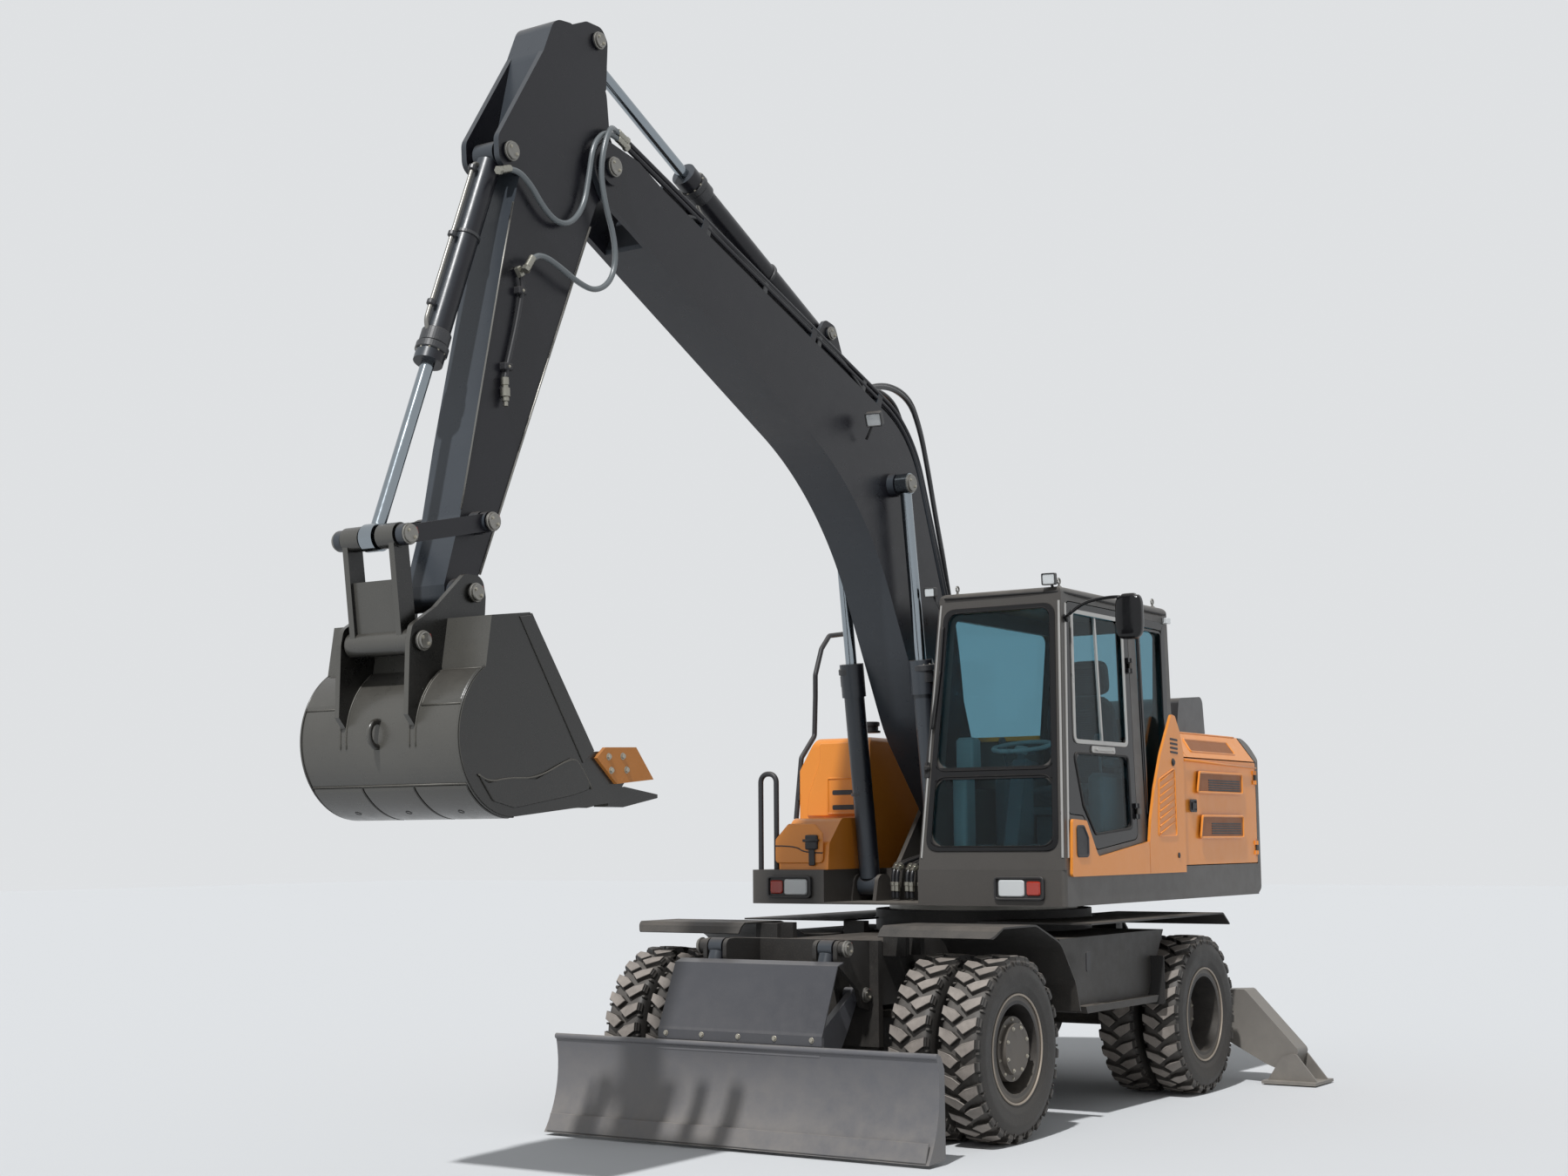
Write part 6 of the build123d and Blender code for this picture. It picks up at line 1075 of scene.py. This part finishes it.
for body, pins in PINS.items():
    caps, heads, dabs = [], [], []
    for x, z, ends, size in pins:
        for y, side in zip(ends, (-1, 1)):
            caps.append(lathe([(d, size * share) for d, share in CAP_TURNED], (x, y, z), (0, side, 0), 28))
            for t in (0.6, 3.74):
                place = (x + size * 0.62 * math.cos(t), y + side * 0.018, z + size * 0.62 * math.sin(t))
                heads.append((place, (0, side, 0), 0.0075))
            reach = size * 1.16
            dabs.append(tube([(x + reach * math.cos(t), y + side * 0.006, z + reach * math.sin(t))
                              for t in (2.4, 2.7, 3.0)], 0.005, 8))
    new_piece(f"pin_caps_{body}", caps, body, "steel", bare_steel)
    new_piece(f"pin_grease_{body}", dabs, body, "trim", red_grease)
    set_bolts(f"pin_bolts_{body}", heads, body)

# ---- Cylinder glands and pipes ----
# Cast gland rings, bolted to the ends of the barrels, and thin steel pipes held beside the barrels by clamps.
# Each row gives (foot, eye, radius, length to the gland).
CYLINDERS = {
    "bucket_barrel": (((3.092, -0.22, 5.030), (3.862, -0.22, 3.020), 0.064, 1.160),),
    "arm_barrel": (((0.092, -0.22, 4.710), (2.402, -0.22, 5.820), 0.070, 1.440),),
    "boom_barrels": (((-0.910, 0.045, 1.345), (-0.538, 0.045, 3.850), 0.062, 1.395),
                     ((-0.910, -0.485, 1.345), (-0.538, -0.485, 3.850), 0.062, 1.395)),
}
GLAND = ((-0.115, -0.004), (-0.115, 0.005), (-0.110, 0.009), (-0.045, 0.009), (-0.040, 0.004),
         (-0.036, 0.016), (-0.004, 0.016), (0.0, 0.012), (0.0, -0.004))
BAND = ((-0.006, -0.004), (-0.004, 0.006), (0.012, 0.006), (0.014, -0.004))
PIPE_CLAMP = ((-0.014, 0.018), (-0.010, 0.022), (0.010, 0.022), (0.014, 0.018))
gland_paint = weathered("gland casting", "#2f3033", top=0.2, mottle=0.2, speckle=0.1, bump=0.0006, coat=0.1)
for body, cylinders in CYLINDERS.items():
    glands, bolts, pipes = [], [], []
    for foot, eye, radius, length in cylinders:
        foot = Vector(foot)
        way = (Vector(eye) - foot).normalized()
        out = Vector(LEFT).cross(way).normalized()
        if out.x < 0:
            out = -out
        end = foot + way * length
        for turned, start, sides in ((GLAND, end, 40), (BAND, foot + way * (0.42 * length), 36)):
            glands.append(lathe([(d, radius + r) for d, r in turned], start, way, sides, hollow=True))
        bolts += [(place, way, 0.006) for place in circle(end, out, way.cross(out), radius + 0.004, 10)]
        if body != "boom_barrels":
            route = ((0.10, -0.01), (0.10, 0.026), (0.16, 0.026), (length - 0.20, 0.026),
                     (length - 0.12, 0.026), (length - 0.09, -0.01))
            pipes.append(bent([foot + way * along + out * (radius + lift) for along, lift in route], 0.011))
            glands += [lathe(PIPE_CLAMP, foot + way * (share * length) + out * (radius + 0.026), way, 14)
                       for share in (0.12, 0.46, 0.80)]
    new_piece(f"glands_{body}", glands, body, "dark_paint", gland_paint)
    set_bolts(f"gland_bolts_{body}", bolts, body)
    if pipes:
        new_piece(f"pipes_{body}", pipes, body, "steel", bare_steel)

# ---- Arm pipework ----
# A steel pipe with two clamps and a capped coupling runs down the arm's side, and weld beads run along its
# edges. The pipe is clamped and screwed to the plate.
ARM_SIDE = -0.098
ARM_PIPE = ((3.050, 0.022, 4.445), (3.012, 0.026, 4.40), (3.020, 0.022, 4.30), (3.062, 0.020, 4.12),
            (3.125, 0.020, 3.92), (3.140, 0.024, 3.86))
ARM_CLAMPS = ((3.022, 4.335), (3.122, 3.935))
REAR_EDGE, FRONT_EDGE = ((2.462, 4.80), (3.289, 2.90)), ((3.060, 4.78), (3.150, 4.40), (3.415, 3.20))
COUPLING = ((-0.02, 0.013), (-0.016, 0.020), (0.02, 0.020), (0.022, 0.016), (0.034, 0.016), (0.036, 0.024),
            (0.078, 0.024), (0.082, 0.018), (0.10, 0.018), (0.104, 0.012), (0.125, 0.012))
ELBOW = ((-0.03, 0.015), (-0.026, 0.021), (0.02, 0.021), (0.024, 0.015))
pipe_line = line_of([(x, ARM_SIDE + out, z) for x, out, z in ARM_PIPE])
coupling_way = (pipe_line[-1] - pipe_line[-4]).normalized() + Vector((-0.25, 0, 0))
arm_plane = plane((0, ARM_SIDE, 0), BACK)
new_piece("arm_edge_beads", [
    tube([(x - 0.006, ARM_SIDE + 0.002, z) for x, z in REAR_EDGE], 0.0055, 8),
    tube([(x + 0.003, ARM_SIDE + 0.001, z) for x, z in FRONT_EDGE], 0.0045, 8),
], "arm", "steel", bare_steel)
new_piece("arm_pipe", [tube(pipe_line, 0.012)] + [
    slab(rect(-x - 0.030, -x + 0.030, z - 0.018, z + 0.018), arm_plane, -0.004, 0.038, 0.006, 0.006, 3)
    for x, z in ARM_CLAMPS
], "arm", "trim", black_trim_and_shade)
new_piece("arm_couplings", [
    lathe(COUPLING, pipe_line[-1], coupling_way, 18),
    lathe(ELBOW, pipe_line[3], pipe_line[3] - pipe_line[0], 6),
], "arm", "steel", swaged_steel)
set_bolts("arm_clamp_bolts", [((x, ARM_SIDE + 0.037, z), LEFT, 0.006) for x, z in ARM_CLAMPS], "arm")

# ---- Boom pipe clamps and loops ----
# Black rubber hoses in loops over the boom's back, held by welded clamps, and short hoses with crimped steel
# ferrules from the deck to the boom's foot. Rows of the routes give (x, z, share of the lift).
BOOM_LOOP = ((-0.240, 4.400, 0), (-0.420, 4.470, 0.6), (-0.740, 4.420, 1), (-0.890, 4.230, 1),
             (-0.990, 3.960, 1), (-1.090, 3.640, 1), (-1.200, 3.330, 1), (-1.320, 2.990, 0.8),
             (-1.420, 2.640, 0.5), (-1.505, 2.300, 0))
BOOM_RUN = ((1.760, 5.000, 0), (1.600, 5.085, 0.4), (1.300, 4.985, 1), (0.950, 4.850, 1), (0.600, 4.725, 1),
            (0.250, 4.605, 1), (-0.050, 4.500, 0.6), (-0.230, 4.395, 0))
BOOM_CLAMPS = ((1.450, 4.990), (0.880, 4.790), (0.300, 4.583), (-0.210, 4.402))
DECK_STARTS = ((-0.120, -0.930), (-0.165, -0.900), (-0.220, -0.940), (-0.275, -0.905), (-0.320, -0.935))
FERRULE = ((-0.035, 0.0155), (-0.032, 0.019), (0.0, 0.019), (0.002, 0.023), (0.022, 0.023), (0.025, 0.017))
black_hose = weathered("black hose", "#1d1e21", 0.32, amount=0.0, top=0.1, mottle=0.1, bump=0.0002, coat=0.2,
                       coat_rough=0.2)
loops = [bent([(x - 0.85 * lift * share, y, z + 0.5 * lift * share) for x, z, share in BOOM_LOOP], 0.0155)
         for y, lift in ((-0.100, 0.10), (-0.145, 0.19), (-0.250, 0.16), (-0.320, 0.08))]
loops += [bent([(x, y, z + lift * share) for x, z, share in BOOM_RUN], 0.0125)
          for y, lift in ((-0.075, 0.035), (-0.108, 0.055))]
loops += [slab(rect(-0.022, 0.022, -0.135, -0.062), plane((x, 0, z), (0.945, 0, 0.328), LEFT), -0.01, 0.085,
               0.006, 0.008, 3) for x, z in BOOM_CLAMPS]
new_piece("boom_hose_loops", loops, "boom", "trim", black_hose)
deck_hoses, ferrules = [], []
for k, (y, x) in enumerate(DECK_STARTS):
    line = line_of([(x, y, 1.26), (x + 0.01, y, 1.36), (x - 0.01, y, 1.445 + 0.004 * k), (x - 0.10, y, 1.485),
                    (x - 0.28, y, 1.515), (x - 0.48, y, 1.545)])
    deck_hoses.append(tube(line, 0.0145))
    for at in (int(share * len(line)) for share in (0.12, 0.42)):
        ferrules.append(lathe(FERRULE, line[at], line[at + 1] - line[at], 12))
new_piece("deck_hoses", deck_hoses, "turntable", "trim", black_hose)
new_piece("deck_hose_ferrules", ferrules, "turntable", "steel", swaged_steel)

# ---- Bucket wear parts ----
# Wear plates round the shell's back, a doubler on each side, a lifting hook and drain holes, in dark paint;
# weld beads along the plates, and the side cutters' bolts. The plates and the hook are welded on.
BUCKET_C, BUCKET_R = Vector((3.462, 0, 2.113)), 0.362
BUCKET_SIDES = (-0.715, 0.275)
WEAR_WIDTH, WEAR_STEP = 0.311, 0.319
SIDE_DOUBLER = ((3.700, 1.935), (3.640, 1.900), (3.500, 1.925), (3.300, 1.925), (3.050, 2.030),
                (2.985, 2.000), (2.900, 1.885), (3.05, 1.850), (3.450, 1.790), (3.600, 1.820))
MOUTH_STRIP = ((3.338, 2.680), (2.880, 2.066), (2.962, 2.006), (3.428, 2.664))
MOUTH_EDGE = ((3.346, 2.684), (3.10, 2.345), (2.90, 2.070))
HOLE = ((-0.004, 0.016), (0.0105, 0.016), (0.0105, 0.012), (0.004, 0.010))
CUTTER_BOLTS = ((2.790, 2.040), (2.680, 2.045), (2.770, 1.975), (2.650, 1.980))
bucket_paint = weathered("bucket paint", "#232322", 0.28, "#7d766c", 0.14, 2.7, 0.12, 0.3, bump=0.0006,
                         coat=0.2, coat_rough=0.2)
# Painted sheen: the forward faces of the bucket paint are made paler.
painted_sheen_in_front(bucket_paint, "#121211", "#4a4945")
paint_nodes(bucket_paint, "bucket bucket_link")
weld_steel = weathered("weld bead", "#55534e", amount=0.1, top=0.1, mottle=0.3, speckle=0.1, bump=0.0008,
                       metallic=0.3)


def back_point(y, degrees, lift=0.001):
    """A place over the round back of the bucket."""
    t = math.radians(degrees)
    return BUCKET_C + Vector(((BUCKET_R + lift) * math.cos(t), y, (BUCKET_R + lift) * math.sin(t)))


def shell_strip(y0, y1, from_deg, to_deg, thick, steps=20):
    """Curved wear plate on the bucket's back with chamfered edges."""
    rows = []
    for k in range(steps + 1):
        edge = 0.004 if k in (0, steps) else 0.0
        section = ((y0, -0.003), (y0, thick * 0.6 - edge), (y0 + 0.005, thick - edge),
                   (y1 - 0.005, thick - edge), (y1, thick * 0.6 - edge), (y1, -0.003))
        rows.append([back_point(y, from_deg + (to_deg - from_deg) * k / steps, lift) for y, lift in section])
    return skin(rows, turn_out=True)


wear = [shell_strip(y, y + WEAR_WIDTH, -92, -38, 0.009)
        for y in (BUCKET_SIDES[0] + 0.02 + k * WEAR_STEP for k in range(3))]
for y in (BUCKET_SIDES[0] + 0.010, BUCKET_SIDES[1] - 0.010):
    wear.append(tube([back_point(y, -92 + 150 * k / 40) for k in range(41)], 0.0055, 8))
wear += [shell_strip(y0, y1, 22, 56, 0.008, 12) for y0, y1 in ((-0.70, -0.46), (0.03, 0.26))]
welds = []
for y, way in ((BUCKET_SIDES[1], -1), (BUCKET_SIDES[0], 1)):
    face = plane((0, y, 0), (way, 0, 0))
    wear += [slab([(way * x, z) for x, z in SIDE_DOUBLER], face, -0.002, 0.009, 0.003, 0.03, 4),
             slab([(way * x, z) for x, z in MOUTH_STRIP], face, -0.002, 0.007, 0.003),
             tube([(x, y - way * 0.001, z) for x, z in MOUTH_EDGE], 0.006, 8)]
    welds.append(bent([(x, y - way * 0.006, z) for x, z in SIDE_DOUBLER[:7]], 0.0045, 8))
welds.append(tube([back_point(-0.695, -37), back_point(0.262, -37)], 0.0045, 8))
welds += [tube([back_point(y, angle) for y in ends], 0.0045, 8)
          for ends in ((-0.695, -0.455), (0.025, 0.262)) for angle in (22.0, 56.0)]
welds += [tube([back_point(y, angle) for angle in range(22, 58, 2)], 0.0045, 8) for y in (-0.455, 0.025)]
welds += [tube([back_point(y, angle) for angle in range(-8, 60, 4)], 0.004, 8)
          for y in (-0.452, -0.416, -0.024, 0.012)]
wear.append(tube([back_point(-0.22, 2) + Vector((0.052 * math.cos(a), 0, 0.058 * math.sin(a)))
                  for a in (math.radians(-100 + 10 * k) for k in range(21))], 0.014))
# Painted shade: black discs stand for the shaded drain holes.
holes = [lathe(HOLE, back_point(y, -66, 0.0), back_point(y, -66, 0.1) - back_point(y, -66, 0.0), 18)
         for y in (-0.54, -0.22, 0.10)]
new_piece("bucket_welds", welds, "bucket", "steel", weld_steel)
new_piece("bucket_drain_holes", holes, "bucket", "trim", black_trim_and_shade)
new_piece("bucket_wear_plates", wear, "bucket", "dark_paint", bucket_paint)
cutter_bolts = [((x, y, z), (0, side, 0), 0.013) for side, y in ((1, 0.2945), (-1, -0.7345))
                for x, z in CUTTER_BOLTS]
set_bolts("cutter_bolts", cutter_bolts, "bucket")

# ---- Blade fittings ----
# A steel cutting edge in the blade's paint, bolted along its foot, and five zinc bolts along the flange of
# the blade's cover.
BLADE_LOW, BLADE_TOP = Vector((1.412, 0, 0.022)), Vector((1.294, 0, 0.330))
BLADE_HALF = 1.222
COVER_BOLT_Y = (-0.482, -0.241, 0.0, 0.235, 0.471)
blade_paint = weathered("blade paint", "#5a5b60", 0.38, "#938b80", 0.35, 0.75, 0.25, 0.22, 0.05, coat=0.15,
                        coat_rough=0.25)
cover_paint = weathered("cover paint", "#3f4045", 0.35, "#8d857c", 0.15, 0.9, 0.2, 0.2, 0.04, 0.0002,
                        coat=0.2, coat_rough=0.2)
paint_nodes(blade_paint, "blade")
paint_nodes(cover_paint, "blade_cover")
new_piece("blade_cutting_edge", slab(rect(-BLADE_HALF, BLADE_HALF, 0.004, 0.105),
                                     plane(BLADE_LOW, LEFT, BLADE_TOP - BLADE_LOW), -0.004, 0.006, 0.003),
          "blade", "steel", blade_paint)
set_bolts("cover_bolts", [((1.2850, y, 0.588), (1, 0, 0), 0.0115) for y in COVER_BOLT_Y], "blade")

# ---- Mirror ----
# A rounded, glossy black plastic shell on a bracket of bent tube. The bracket's foot is screwed to the cab's
# front pillar.
BRACKET = ((-0.70, 1.035, 2.95), (-0.60, 1.12, 2.97), (-0.56, 1.25, 3.03), (-0.56, 1.42, 3.045),
           (-0.565, 1.50, 3.035), (-0.565, 1.52, 2.98))
FOOT = ((-0.01, 0.03), (0.012, 0.03), (0.016, 0.022), (0.03, 0.022), (0.034, 0.014))
mirror = [cushion((-0.560, 1.522, 2.922), (0.038, 0.083, 0.135), 0.0, (), 0.0, 4.0, 10), bent(BRACKET, 0.010),
          lathe(FOOT, (-0.70, 1.030, 2.95), LEFT, 20)]
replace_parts(new_piece("mirror_shell", mirror, "turntable", "trim", black_gloss), "mirrors")

# ---- Chassis fittings ----
# A rubber flap ahead of each rear wheel and a black moulded latch plate on each side box. They are screwed
# on.
LATCH_PLATE = ((-0.60, 0.975), (-0.66, 0.975), (-0.66, 0.860), (-0.60, 0.860))
flaps, latches = [], []
for side in (1, -1):
    ends = sorted((side * 0.78, side * 1.19))
    flaps.append(slab(rect(*ends, 0.60, 0.90), plane((-1.690, 0, 0), LEFT), -0.004, 0.004, 0.001, 0.02, 4))
    face = plane((0, side * 1.170, 0), (-side, 0, 0))
    latches.append(slab(from_side(LATCH_PLATE, flip=side), face, -0.002, 0.006, 0.002, 0.012, 3))
new_piece("wheel_flaps", flaps, "chassis", "trim", seal_rubber)
new_piece("box_latches", latches, "chassis", "trim", black_trim_and_shade)
